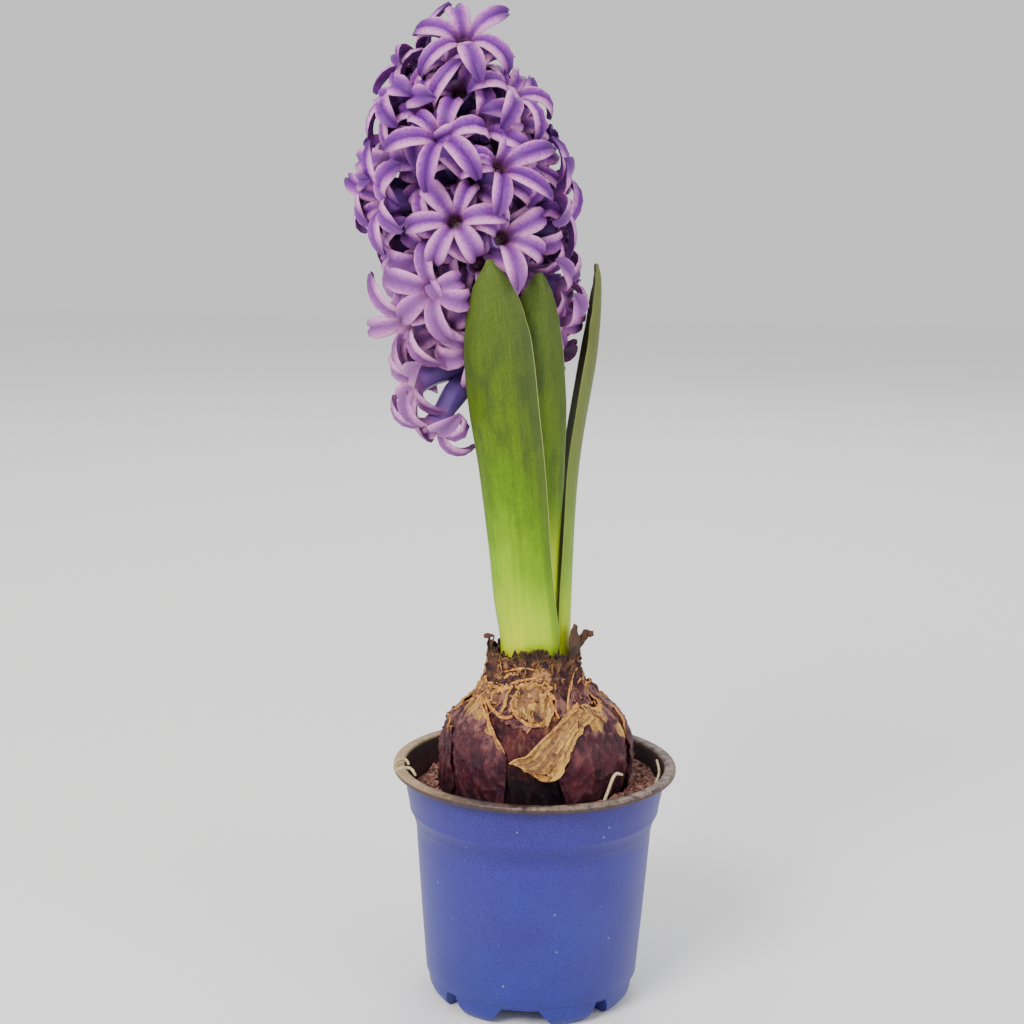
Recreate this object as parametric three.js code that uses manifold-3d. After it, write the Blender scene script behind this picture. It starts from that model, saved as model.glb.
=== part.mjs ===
// A forced hyacinth in flower: bulb, leaves and flower spike in a 9 cm growing pot.
// Millimetres, Z up. Everything is laid out from the pot's axis; the last lines move the whole
// plant so that the origin is the middle of its footprint.
// Azimuths are in degrees from +X towards +Y, so the viewer stands at -90.

import * as THREE from "three";
import { mergeVertices } from "three/addons/utils/BufferGeometryUtils.js";
import Module from "manifold-3d";

const wasm = await Module();
wasm.setup();

// Driving dimensions
const fitGap = 0.3;
const weldLength = 0.02;
const pot = {
  height: 76.3, rim: 45, mouth: 41.4, lip: 2, wall: 1, footStep: 7.2, footTop: 33.2, footToe: 29.8,
  floorTop: 8.4, floorUnder: 6.8, shoulderLow: 57.5, shoulderHigh: 61.6, segments: 36,
};
const notch = { height: 6.5, depth: 18, first: -95.3, wide: [22.5, 11.5], narrow: [8, 2.8], turn: 47 };
const drain = { radius: 4, ring: 16, holes: 4 };
const soil = { level: 68.6, slope: 0.055, lumps: 0.9, segments: 32 };
const bulb = { x: -0.8, bottom: 50, neckTop: 112.5, cup: 11.6, cupFloor: 103, segments: 28 };
const scale = { thick: 0.9, gap: 0.6 };
const leafRing = { outer: 10.4, inner: 7.4 };
const stem = { low: 5.2, high: 4.2, cut: 186, spikeLow: 4.2, spikeHigh: 2.6, spikeTop: 287 };
const tepal = {
  length: 16.5, lengthVaries: 0.12, thick: 1.3, rise: 60, turn: 140, turnVaries: 0.28, room: 2.8,
  leastRoom: 1,
};
const tepalMarks = [[0.26, 3], [0.56, 3.6], [0.82, 2.8], [1, 0]];
const tepalWays = [
  [1, 0, 1], [1.3, 0, 1], [0.75, 0, 1], [1, 14, 1], [1, -14, 1], [1.6, 0, 1], [1.4, 14, 1],
  [1.4, -14, 1], [0.7, 14, 0.9], [0.7, -14, 0.9], [1.3, 0, 0.8], [1.8, 0, 0.85], [0.6, 0, 0.8],
  [1.8, 18, 0.8], [1.8, -18, 0.8],
];
const tube = { pedicel: 1.4, belly: 3.8, throat: 3.7, mouthRoom: 3, ahead: 2 };

const colours = {
  pot: [0x3a43a0, 0.45], soil: [0x2c1d18, 0.95], bulb: [0x5a3a33, 0.8], purpleScale: [0x5b2f45, 0.6],
  tanScale: [0xb58d55, 0.6], sheath: [0x4a3428, 0.85], leaf: [0x6d8f2e, 0.5], stem: [0x4a3340, 0.6],
  flower: [0x8f5fb0, 0.55], straw: [0xd8c79c, 0.8],
};

function seededRandom(seed) {
  let state = seed;
  return () => {
    state = (state + 0x6d2b79f5) | 0;
    let t = Math.imul(state ^ (state >>> 15), 1 | state);
    t = (t + Math.imul(t ^ (t >>> 7), 61 | t)) ^ t;
    return ((t ^ (t >>> 14)) >>> 0) / 4294967296;
  };
}

const radians = THREE.MathUtils.degToRad;
const lerp = THREE.MathUtils.lerp;

// Straight-line reading of rows [key, value, value...] at a key between them
function readRows(rows, key) {
  const last = rows.length - 1;
  if (key <= rows[0][0]) return rows[0].slice(1);
  if (key >= rows[last][0]) return rows[last].slice(1);
  const next = rows.findIndex((row) => row[0] > key);
  const [low, high] = [rows[next - 1], rows[next]];
  const part = (key - low[0]) / (high[0] - low[0]);
  return low.slice(1).map((value, i) => lerp(value, high[i + 1], part));
}

// Geometry helpers

function signedVolume(points, faces) {
  let sum = 0;
  for (let i = 0; i < faces.length; i += 3) {
    const [a, b, c] = [points[faces[i]], points[faces[i + 1]], points[faces[i + 2]]];
    sum += a.dot(new THREE.Vector3().crossVectors(b, c));
  }
  return sum / 6;
}

function capFaces(faces, start, count) {
  let low = 0;
  let high = count - 1;
  while (low + 1 < high) {
    faces.push(start + low, start + low + 1, start + high);
    if (low + 1 < high - 1) faces.push(start + low + 1, start + high - 1, start + high);
    low += 1;
    high -= 1;
  }
}

// A closed skin over a row of rings with equally many points; the last ring may be a single tip,
// and a looped row joins its last ring to its first
function loft(rings, looped = false) {
  const points = rings.flat();
  const faces = [];
  const size = rings[0].length;
  const spans = looped ? rings.length : rings.length - 1;
  for (let i = 0; i < spans; i++) {
    const here = i * size;
    const next = ((i + 1) % rings.length) * size;
    const tip = rings[(i + 1) % rings.length].length === 1;
    for (let k = 0; k < size; k++) {
      const side = (k + 1) % size;
      if (tip) faces.push(here + k, here + side, next);
      else faces.push(here + k, here + side, next + side, here + k, next + side, next + k);
    }
  }
  if (!looped) {
    const end = rings.length - 1;
    const first = [];
    capFaces(first, 0, size);
    for (let i = 0; i < first.length; i += 3) faces.push(first[i], first[i + 2], first[i + 1]);
    if (rings[end].length > 1) capFaces(faces, end * size, size);
  }
  if (signedVolume(points, faces) < 0) faces.reverse();
  const geometry = new THREE.BufferGeometry().setFromPoints(points);
  geometry.setIndex(faces);
  return geometry;
}

function toSolid(geometry) {
  const bare = geometry.clone();
  bare.deleteAttribute("normal");
  bare.deleteAttribute("uv");
  const merged = mergeVertices(bare, 1e-4);
  return new wasm.Manifold(new wasm.Mesh({
    numProp: 3,
    vertProperties: new Float32Array(merged.attributes.position.array),
    triVerts: new Uint32Array(merged.index.array),
  }));
}

function toGeometry(solid) {
  const mesh = solid.getMesh();
  const geometry = new THREE.BufferGeometry();
  geometry.setAttribute("position", new THREE.BufferAttribute(new Float32Array(mesh.vertProperties), 3));
  geometry.setIndex(new THREE.BufferAttribute(new Uint32Array(mesh.triVerts), 1));
  return geometry;
}

function lathe(profile, segments) {
  const geometry = new THREE.LatheGeometry(profile.map(([r, z]) => new THREE.Vector2(r, z)), segments);
  return geometry.rotateX(Math.PI / 2);
}

function node(name, geometry, [color, roughness]) {
  const mesh = new THREE.Mesh(geometry, new THREE.MeshStandardMaterial({ color, roughness }));
  mesh.name = name;
  return mesh;
}

// Pot

const potInside = [
  [pot.floorTop, pot.footTop - pot.wall + 0.4], [pot.shoulderLow, 36.5], [pot.shoulderHigh, 38.3],
  [68.4, 39.8], [pot.height, pot.mouth],
];

function footNotch(azimuth, [low, high]) {
  const outline = new THREE.Shape();
  outline.moveTo(-low / 2, -1);
  outline.lineTo(low / 2, -1);
  outline.lineTo(high / 2, notch.height);
  outline.lineTo(-high / 2, notch.height);
  const block = new THREE.ExtrudeGeometry(outline, { depth: notch.depth, bevelEnabled: false });
  const angle = radians(azimuth);
  const outwards = new THREE.Vector3(Math.cos(angle), Math.sin(angle), 0);
  const along = new THREE.Vector3(-Math.sin(angle), Math.cos(angle), 0);
  const place = new THREE.Matrix4().makeBasis(along, new THREE.Vector3(0, 0, 1), outwards);
  place.setPosition(outwards.multiplyScalar(20));
  return block.applyMatrix4(place);
}

function drainHole(x, y) {
  const drill = new THREE.CylinderGeometry(drain.radius, drain.radius, 6, 16).rotateX(Math.PI / 2);
  return drill.translate(x, y, pot.floorUnder + 1);
}

function makePot() {
  const outside = [
    [0, pot.floorUnder], [25.4, pot.floorUnder], [26.4, 0], [pot.footToe, 0], [31.6, 1.3], [33, 3.6],
    [pot.footTop, pot.footStep], [33.9, pot.footStep + 0.4], [37.5, 53.7], [37.6, pot.shoulderLow],
    [39.4, pot.shoulderHigh], [40.9, 68.4], [41.3, pot.height - pot.lip], [pot.rim, pot.height - pot.lip],
    [pot.rim, pot.height - 0.6], [pot.rim - 0.5, pot.height],
  ];
  const inside = potInside.map(([z, r]) => [r, z]).reverse();
  let body = toSolid(lathe([...outside, ...inside, [0, pot.floorTop]], pot.segments));
  for (let quarter = 0; quarter < 4; quarter++) {
    const azimuth = notch.first + 90 * quarter;
    body = body.subtract(toSolid(footNotch(azimuth, notch.wide)));
    body = body.subtract(toSolid(footNotch(azimuth + notch.turn, notch.narrow)));
  }
  body = body.subtract(toSolid(drainHole(0, 0)));
  for (let i = 0; i < drain.holes; i++) {
    const angle = radians(notch.first + 45 + (360 / drain.holes) * i);
    body = body.subtract(toSolid(drainHole(drain.ring * Math.cos(angle), drain.ring * Math.sin(angle))));
  }
  return node("pot", toGeometry(body), colours.pot);
}

// Bulb. Its profile is [height, radius, x of the middle]: the body bulges a little to the right.

const bulbProfile = [
  [bulb.bottom, 8, bulb.x], [52, 16.4, bulb.x], [58, 24.6, bulb.x], [66, 27.4, bulb.x], [72, 28.1, -0.1],
  [78, 28.4, 0.4], [84, 28.2, 0.5], [88, 27, 0.5], [92, 24.8, 0.5], [95, 22.2, 0.5], [97.5, 19.2, 0.3],
  [100, 16.8, -0.1], [103, 14.8, -0.6], [107, 13.3, bulb.x], [bulb.neckTop, 12.7, bulb.x],
];

// A point at a distance off the bulb's skin
function bulbPoint(angle, z, offset) {
  const [radius, x] = readRows(bulbProfile, z);
  const r = radius + offset;
  return new THREE.Vector3(x + r * Math.cos(angle), r * Math.sin(angle), z);
}

function makeBulb() {
  const outside = bulbProfile.map(([z, r]) => [r, z]);
  const cup = [[bulb.cup, bulb.neckTop], [bulb.cup, bulb.cupFloor], [0, bulb.cupFloor]];
  const geometry = lathe([[0, bulb.bottom], ...outside, ...cup], bulb.segments);
  const position = geometry.attributes.position;
  for (let i = 0; i < position.count; i++) {
    const [x, y, z] = [position.getX(i), position.getY(i), position.getZ(i)];
    const inCup = Math.hypot(x, y) < bulb.cup + 0.1 && z > bulb.cupFloor - 1;
    position.setX(i, x + (inCup ? bulb.x : readRows(bulbProfile, z)[1]));
  }
  return node("bulb", geometry, colours.bulb);
}

// Soil: it fills the pot, with a plain hole that the bulb stands in

function makeSoil() {
  const side = potInside.filter(([z]) => z < soil.level - 3).map(([z, r]) => [r - fitGap, z]);
  side[0][1] += fitGap;
  const top = [[39, soil.level], [36.9, soil.level + 1], [34.6, soil.level], [32.3, soil.level - 0.6]];
  const hole = bulbProfile.filter(([z]) => z < 64).map(([z, r]) => [r + fitGap, z - fitGap]).reverse();
  const profile = [[0, side[0][1]], ...side, ...top, [31.9, 65], ...hole, [0, bulb.bottom - fitGap]];
  const geometry = lathe(profile, soil.segments);
  const position = geometry.attributes.position;
  for (let i = 0; i < position.count; i++) {
    const [x, y, z] = [position.getX(i), position.getY(i), position.getZ(i)];
    const angle = Math.atan2(y, x);
    const wobble = Math.sin(5 * angle + 1) + 0.8 * Math.sin(11 * angle + Math.hypot(x, y));
    const rise = soil.slope * x + (soil.lumps * wobble) / 2;
    if (z > soil.level - 1) position.setZ(i, z + rise);
    if (Math.hypot(x, y) > 38.5) {
      const wall = readRows(potInside, z + rise)[0] - 1.5 * fitGap;
      position.setX(i, wall * Math.cos(angle));
      position.setY(i, wall * Math.sin(angle));
    }
    if (z < 64.9 && Math.hypot(x, y) < 30) position.setX(i, x + bulb.x);
  }
  return node("soil", geometry, colours.soil);
}

// Papery scales: a patch of shell over the bulb between two azimuths and two heights, with its
// columns drawn together where its edge is steep

function bulbScale({ from, to, columns, rows, bottom, top, spread = (t) => t }) {
  const rings = [];
  for (let i = 0; i <= columns; i++) {
    const across = spread(i / columns);
    const angle = radians(lerp(from, to, across));
    const face = (offset) => {
      const line = [];
      for (let k = 0; k <= rows; k++) {
        line.push(bulbPoint(angle, lerp(bottom(across), top(across), k / rows), offset));
      }
      return line;
    };
    rings.push([...face(scale.gap + scale.thick), ...face(scale.gap).reverse()]);
  }
  return loft(rings);
}

const tornEdge = (across, size) => size * (Math.sin(19 * across) + 0.6 * Math.sin(43 * across + 1));

function makeLeftTunic() {
  const geometry = bulbScale({
    from: 115, to: 252, columns: 15, rows: 9, spread: (t) => 1 - (1 - t) ** 1.6,
    bottom: () => 66.5,
    top: (u) => lerp(99, 86.5, THREE.MathUtils.smoothstep(u, 0.72, 1)) + tornEdge(u, 0.7),
  });
  return node("tunic_left", geometry, colours.purpleScale);
}

function makeRightTunic() {
  const geometry = bulbScale({
    from: -70, to: 111, columns: 18, rows: 9, spread: (t) => t ** 1.6,
    bottom: (u) => lerp(76, 66.8, THREE.MathUtils.smoothstep(u, 0, 0.08)),
    top: (u) => lerp(91.5, 99.5, THREE.MathUtils.smoothstep(u, 0, 0.14)) + tornEdge(u, 0.7),
  });
  return node("tunic_right", geometry, colours.purpleScale);
}

function makeFrontTunic() {
  const geometry = bulbScale({
    from: -104.5, to: -73.5, columns: 6, rows: 4,
    bottom: (u) => 80.5 + 3 * (1 - u) * (1 - u) + tornEdge(u, 0.3),
    top: (u) => lerp(87.2, 93.6, u) + tornEdge(u, 0.3),
  });
  return node("tunic_front", geometry, colours.tanScale);
}

// Ragged collar of old scales round the neck, with a shred standing up on either side.
// Rows are [height, gap to the bulb]; the last two are levels between the third and the ragged top.

function makeNeckSheath() {
  const columns = 32;
  const rows = [[102.4, 0.45], [105, 0.5], [108.4, 0.6]];
  const rings = [];
  for (let i = 0; i < columns; i++) {
    const azimuth = (360 / columns) * i - 180;
    const angle = radians(azimuth);
    const rightShred = Math.exp(-(((azimuth + 4) / 12) ** 2));
    const leftShred = Math.exp(-(((azimuth + 170) / 7) ** 2));
    const ragged = 1.1 * Math.sin(i * 2.4) + 0.8 * Math.sin(i * 5.1 + 2);
    const top = 112.6 + ragged + 10.5 * rightShred + 5 * leftShred;
    const flare = 1.6 * rightShred + 1.2 * leftShred;
    const line = [...rows, [(108.4 + top) / 2, 0.75], [top, 1.2 + flare]];
    const face = (offset) => line.map(([z, gap]) => {
      return bulbPoint(angle, Math.min(z, bulb.neckTop), gap + offset).setZ(z);
    });
    rings.push([...face(scale.thick), ...face(0).reverse()]);
  }
  return node("neck_sheath", loft(rings, true), colours.sheath);
}

// Leaves. Each row is [height, middle x, middle y, facing, bend radius, half width]; the middle is
// the midrib, and the blade bends round towards the flower behind it.

function leafFoot(ring, facing, half) {
  const [x, y] = [bulb.x + ring * Math.cos(radians(facing)), ring * Math.sin(radians(facing))];
  return [[bulb.cupFloor + fitGap, x, y, facing, ring, half], [bulb.neckTop, x, y, facing, ring, half]];
}

const leaves = [
  {
    name: "leaf_1", thick: 1.8,
    rows: [
      ...leafFoot(leafRing.outer, -111, 12),
      [118, -3.8, -10.6, -106, 11, 11.3], [131, -4.9, -12.2, -100, 12.5, 10.9],
      [150, -6.7, -15, -98, 14, 10.8],
      [170, -8.7, -18.4, -98, 16, 11], [190, -11.5, -22, -98, 17, 11.5], [205, -13.2, -25, -98, 16, 11.6],
      [216, -14, -26.9, -98, 13, 10.4], [225, -14.7, -28.2, -98, 10, 7.8],
      [231, -15.1, -28.6, -98, 7, 4.2], [234.4, -15.7, -28, -98, 5, 1.4],
    ],
  },
  {
    name: "leaf_2", thick: 1.7,
    rows: [
      ...leafFoot(leafRing.inner, -50, 6.6),
      [118, 3.2, -6.4, -55, 7.8, 7.4], [131, 1.6, -8.2, -65, 9, 8.2], [150, 0, -10.9, -72, 11, 9],
      [170, -0.8, -13.6, -78, 13, 9.8], [190, -1.2, -16.1, -80, 14, 10.7],
      [202, -1.7, -17.6, -80, 14, 10.2], [212, -1.9, -18.7, -80, 12, 9.1],
      [220, -1.7, -19.4, -80, 9.5, 6.9], [227, -1.5, -19.6, -80, 7, 4], [231.4, -1.3, -19.2, -80, 4, 1.3],
    ],
  },
  {
    name: "leaf_3", thick: 1.8,
    rows: [
      ...leafFoot(leafRing.outer, -2, 6.9),
      [118, 9.4, 0, 0, 10.4, 7.2], [131, 9.5, 0.3, 2, 10.4, 7.6], [150, 9.9, 0.8, 4, 10.5, 8.2],
      [167, 10.7, 1.2, 5, 11, 8.8], [180, 12, 1.6, 5, 11, 9.2], [192, 13.8, 2, 5, 11, 9.3],
      [204, 15.6, 2.3, 5, 10.5, 8.9], [215, 16.5, 2.5, 5, 9, 7.4], [224, 16.7, 2.6, 5, 7, 5.4],
      [230, 16.4, 2.5, 5, 5.5, 3], [233.4, 15.9, 2.3, 5, 4, 1.1],
    ],
  },
  {
    name: "leaf_4", thick: 1.7,
    rows: [
      ...leafFoot(leafRing.outer, 100, 8.6),
      [118, -2.4, 10.8, 98, 10.6, 8.6], [131, -1.2, 13, 92, 11, 8.8], [145, 0.5, 16, 86, 12, 8.8],
      [158, 2.2, 19, 84, 12, 8.2], [169, 3.6, 21.6, 84, 11, 6.6], [178, 4.4, 23, 84, 8, 4.4],
      [184.6, 4.8, 23.4, 84, 5, 1.6],
    ],
  },
];

function leafRingAt(row, thick, across) {
  const [z, x, y, facing, bend, half] = row;
  const out = new THREE.Vector3(Math.cos(radians(facing)), Math.sin(radians(facing)), 0);
  const side = new THREE.Vector3(-out.y, out.x, 0);
  const face = (sign) => {
    const line = [];
    for (let k = 0; k <= across; k++) {
      const s = (2 * k) / across - 1;
      const angle = (s * half) / bend;
      const r = bend + sign * (thick / 2) * (1 - 0.55 * s * s);
      const point = new THREE.Vector3(x, y, z).addScaledVector(out, r * Math.cos(angle) - bend);
      line.push(point.addScaledVector(side, r * Math.sin(angle)));
    }
    return line;
  };
  return [...face(1), ...face(-1).reverse()];
}

function makeLeaf({ name, thick, rows }) {
  const rings = rows.map((row, i) => leafRingAt(row, i === rows.length - 1 ? 0.9 : thick, 6));
  return node(name, loft(rings), colours.leaf);
}

// True where a point keeps clear of every blade that stands round the flower spike
function clearOfLeaves(point) {
  const room = 1.3;
  return leaves.every(({ rows, thick }) => {
    if (point.z > rows[rows.length - 1][0] + room) return true;
    const [x, y, facing, bend, half] = readRows(rows, point.z);
    const out = new THREE.Vector3(Math.cos(radians(facing)), Math.sin(radians(facing)), 0);
    const offset = new THREE.Vector3(point.x - x, point.y - y, 0);
    const sideways = -offset.x * out.y + offset.y * out.x;
    const halfChord = bend * Math.sin(half / bend);
    if (Math.abs(sideways) > halfChord + room) return true;
    const sag = bend - Math.sqrt(Math.max(0, bend * bend - Math.min(Math.abs(sideways), halfChord) ** 2));
    return offset.dot(out) + sag < -(thick / 2 + room);
  });
}

// Stem: it leans to the left, then carries the spike nearly upright. Rows are [height, x].

const stemLine = [
  [bulb.cupFloor + fitGap, bulb.x], [113, -1], [125, -3.2], [150, -8.4], [175, -14.4], [195, -18.8],
  [212, -21], [240, -22.4], [258, -24], [272, -25], [300, -25],
];

const stemAt = (z) => new THREE.Vector3(readRows(stemLine, z)[0], 0, z);

function stemTube(low, high, lowRadius, highRadius, steps, sides) {
  const rings = [];
  for (let i = 0; i <= steps; i++) {
    const middle = stemAt(lerp(low, high, i / steps));
    const r = lerp(lowRadius, highRadius, i / steps);
    const ring = [];
    for (let k = 0; k < sides; k++) {
      const angle = (2 * Math.PI * k) / sides;
      ring.push(new THREE.Vector3(middle.x + r * Math.cos(angle), r * Math.sin(angle), middle.z));
    }
    rings.push(ring);
  }
  return loft(rings);
}

// Florets. The ones that the viewer sees are placed by hand as [azimuth, height of the throat, tilt,
// spin, reach from the stem, roll of the tepals if not 1]; the far side follows a rule.

const viewerFlorets = [
  [-88, 298, 42, 100, 10], [-34, 283, 42, 100, 17], [-165, 283, 30, 80, 20],
  [165, 293, 44, 100, 13.5], [-102, 270, 36, 80, 25], [-65, 262, 28, 78, 26], [-22, 264, 8, 70, 22],
  [-153, 264, 12, 115, 24], [176, 272, 18, 80, 21], [-97, 246.5, 20, 68, 26],
  [-66, 242, 14, 40, 26], [-150, 252, 0, 95, 27.5], [-177, 256, 6, 80, 28],
  [-168, 238, -6, 95, 23], [-114, 226.5, -6, 100, 26], [-142, 216.5, -18, 65, 24],
  [-152, 198, -20, 90, 21], [-136, 185.5, -52, 30, 21, 1.15],
  [-6, 254, 5, 85, 26.5], [-12, 243, -4, 60, 27], [-10, 227, -12, 95, 26.5], [-12, 215, -26, 70, 27],
  [-38, 232, -10, 90, 20], [-85, 209, -20, 80, 15], [180, 220, -16, 60, 20],
];

function farFlorets(random) {
  const rows = [];
  for (let level = 0; level < 4; level++) {
    const height = 207 + 20 * level;
    const tilt = lerp(-26, 14, level / 3);
    for (let i = 0; i < 3; i++) {
      const azimuth = 32 + 48 * i + 10 * (level % 2) + 8 * (random() - 0.5);
      rows.push([azimuth, height + 4 * (random() - 0.5), tilt, 60 * random(), 24 + 2 * random()]);
    }
  }
  for (const azimuth of [28, 82, 132]) rows.push([azimuth, 281, 36, 60 * random(), 18]);
  rows.push([90, 290, 62, 30, 10]);
  return rows;
}

// A vector of some length in the plane of two directions, turned from the first to the second
function spoke(first, second, angle, length) {
  const part = first.clone().multiplyScalar(length * Math.cos(angle));
  return part.addScaledVector(second, length * Math.sin(angle));
}

// The middle line of a tepal rises from the throat and rolls back; each station has its width
function tepalLine({ throat, outwards }, across, length, turn) {
  const sideways = new THREE.Vector3().crossVectors(outwards, across);
  const point = throat.clone().addScaledVector(across, tube.throat * 0.86);
  const line = [];
  for (let i = 0; i < tepalMarks.length; i++) {
    const [mark, half] = tepalMarks[i];
    const step = length * (mark - (i ? tepalMarks[i - 1][0] : 0));
    const slope = radians(tepal.rise - turn * (mark - 0.12));
    point.add(spoke(across, outwards, slope, step));
    line.push({
      middle: point.clone(),
      left: point.clone().addScaledVector(sideways, half),
      right: point.clone().addScaledVector(sideways, -half),
      ridge: point.clone().add(spoke(outwards, across, Math.PI - slope, tepal.thick)),
    });
  }
  return line;
}

// The spots that a tepal takes up: its middle and edges, at each station and halfway to the next
function spotsOf(line) {
  const tracks = ["middle", "left", "right"].map((track) => line.map((station) => station[track]));
  return tracks.flatMap((track) => [
    ...track,
    ...track.slice(1).map((spot, i) => spot.clone().lerp(track[i], 0.5)),
  ]);
}

// How far a tepal keeps from what has grown already, up to the room that is enough
function roomAround(line, grown) {
  const spots = spotsOf(line);
  if (!spots.every(clearOfLeaves)) return -1;
  return spots.reduce((least, spot) => {
    return grown.reduce((nearest, other) => Math.min(nearest, spot.distanceTo(other)), least);
  }, tepal.room);
}

// The first way of rolling a tepal that has the most room
function chooseTepal(floret, azimuth, length, roll, grown) {
  let best = null;
  let bestRoom = tepal.leastRoom;
  for (const [more, twist, part] of tepalWays) {
    const angle = radians(azimuth + twist);
    const across = spoke(floret.side, floret.up, angle, 1);
    const line = tepalLine(floret, across, length * part, tepal.turn * more * roll);
    const room = roomAround(line, grown);
    if (room > bestRoom + 0.2) {
      best = line;
      bestRoom = room;
    }
  }
  return best;
}

function floretAxes([azimuth, height, tilt, , reach]) {
  const angle = radians(azimuth);
  const level = new THREE.Vector3(Math.cos(angle), Math.sin(angle), 0);
  const side = new THREE.Vector3(-Math.sin(angle), Math.cos(angle), 0);
  const outwards = level.clone().multiplyScalar(Math.cos(radians(tilt)));
  outwards.z = Math.sin(radians(tilt));
  const up = new THREE.Vector3().crossVectors(outwards, side);
  const throat = stemAt(height).addScaledVector(level, reach);
  const rootHeight = throat.z - reach * Math.sin(radians(tilt));
  const lowest = stem.cut + 5;
  const root = stemAt(THREE.MathUtils.clamp(rootHeight, lowest, stem.spikeTop - 3)).add(level);
  const elbow = throat.clone().addScaledVector(outwards, -0.55 * reach);
  const axis = new THREE.QuadraticBezierCurve3(root, elbow, throat);
  return { side, outwards, up, throat, axis };
}

// One closed skin: a six-sided tube whose mouth opens into six tepals, one from each side
function floretSolid(row, grown, random) {
  const floret = floretAxes(row);
  const [, , , spin, reach, rolled = 1] = row;
  const points = [];
  const faces = [];
  const lines = [];
  const add = (point) => points.push(point) - 1;
  const quad = (a, b, c, d) => faces.push(a, b, c, a, c, d);
  const mouth = 1 - 1.6 / reach;
  const girths = [[0, tube.pedicel], [0.5, tube.belly], [mouth, tube.belly], [1, tube.throat]];
  const rings = girths.map(([t, r]) => {
    const centre = floret.axis.getPoint(t);
    const across = new THREE.Vector3().crossVectors(floret.axis.getTangent(t), floret.side);
    const corners = [0, 1, 2, 3, 4, 5].map((k) => radians(spin + 60 * k - 30));
    return corners.map((angle) => add(spoke(floret.side, across, angle, r).add(centre)));
  });
  const [low, belly, rim, lip] = rings;
  for (let k = 0; k < 6; k++) {
    const next = (k + 1) % 6;
    quad(low[k], low[next], belly[next], belly[k]);
    quad(belly[k], belly[next], rim[next], rim[k]);
    const length = tepal.length * (1 + tepal.lengthVaries * (2 * random() - 1));
    const roll = rolled * (1 + tepal.turnVaries * (2 * random() - 1));
    const line = chooseTepal(floret, spin + 60 * k, length, roll, grown);
    if (!line) {
      quad(rim[k], rim[next], lip[next], lip[k]);
      continue;
    }
    lines.push(line);
    const open = line.slice(0, -1);
    const stations = open.map(({ left, right, ridge }) => [add(left), add(right), add(ridge)]);
    const tip = add(line[line.length - 1].middle);
    const [left, right, ridge] = stations[0];
    faces.push(rim[k], rim[next], ridge);
    quad(rim[next], lip[next], left, ridge);
    quad(lip[next], lip[k], right, left);
    quad(lip[k], rim[k], ridge, right);
    for (let i = 0; i + 1 < stations.length; i++) {
      for (let side = 0; side < 3; side++) {
        const other = (side + 1) % 3;
        quad(stations[i][side], stations[i][other], stations[i + 1][other], stations[i + 1][side]);
      }
    }
    const end = stations[stations.length - 1];
    for (let side = 0; side < 3; side++) faces.push(end[side], end[(side + 1) % 3], tip);
  }
  const base = [];
  capFaces(base, low[0], 6);
  faces.push(...base.reverse());
  capFaces(faces, lip[0], 6);
  for (const line of lines) grown.push(...spotsOf(line));
  for (const t of [0.5, 0.7, 0.9]) grown.push(floret.axis.getPoint(t));
  const mouthSpot = floret.throat.clone().addScaledVector(floret.outwards, tube.ahead);
  grown.push(mouthSpot, mouthSpot.clone().addScaledVector(floret.outwards, tube.mouthRoom));
  for (let k = 0; k < 6; k++) {
    grown.push(spoke(floret.side, floret.up, radians(60 * k), tube.mouthRoom).add(mouthSpot));
  }
  const geometry = new THREE.BufferGeometry().setFromPoints(points);
  geometry.setIndex(faces);
  return toSolid(geometry);
}

function makeSpike() {
  const random = seededRandom(17);
  const { cut, spikeTop, spikeLow, spikeHigh } = stem;
  let solid = toSolid(stemTube(cut + fitGap, spikeTop, spikeLow, spikeHigh, 8, 8));
  const grown = [];
  for (const row of [...viewerFlorets, ...farFlorets(random)]) {
    solid = solid.add(floretSolid(row, grown, random));
  }
  return node("flower_spike", toGeometry(solid.simplify(weldLength)), colours.flower);
}

// Dry straws on the rim and the soil

const straws = [
  [[-44, -9, 77.2], [-42.6, -6.4, 77.6], [-40.8, -5.4, 77.4], [-39.6, -7.4, 76.4]],
  [[-43.4, -15.6, 77.1], [-41, -14.2, 77.6], [-38.6, -13.6, 77.2], [-36.8, -15.4, 75.4]],
  [[20.4, -31.6, 71.4], [22.2, -29.6, 76.2], [24.4, -27.4, 81.2], [27, -26.6, 81]],
  [[39.3, 6.6, 75.3], [39.6, -2.6, 74.2], [37.8, -12.2, 73]],
];

function makeStraw(points, i) {
  const route = new THREE.CatmullRomCurve3(points.map((p) => new THREE.Vector3(...p)));
  const section = new THREE.Shape();
  section.absarc(0, 0, 0.45, 0, 2 * Math.PI);
  const options = { steps: 6, curveSegments: 3, extrudePath: route, bevelEnabled: false };
  return node(`straw_${i + 1}`, new THREE.ExtrudeGeometry(section, options), colours.straw);
}

// The plant

const plant = new THREE.Group();
plant.add(makePot(), makeSoil(), makeBulb(), makeLeftTunic(), makeRightTunic(), makeFrontTunic());
plant.add(makeNeckSheath(), ...leaves.map(makeLeaf));
plant.add(node("stem", stemTube(stemLine[0][0], stem.cut, stem.low, stem.high, 10, 10), colours.stem));
plant.add(makeSpike(), ...straws.map(makeStraw));

const size = new THREE.Box3().setFromObject(plant);
const middle = size.getCenter(new THREE.Vector3());
plant.position.set(-middle.x, -middle.y, -size.min.z);

export default plant;
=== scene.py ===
import bpy
import math
import numpy as np
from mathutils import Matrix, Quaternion, Vector, noise


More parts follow.
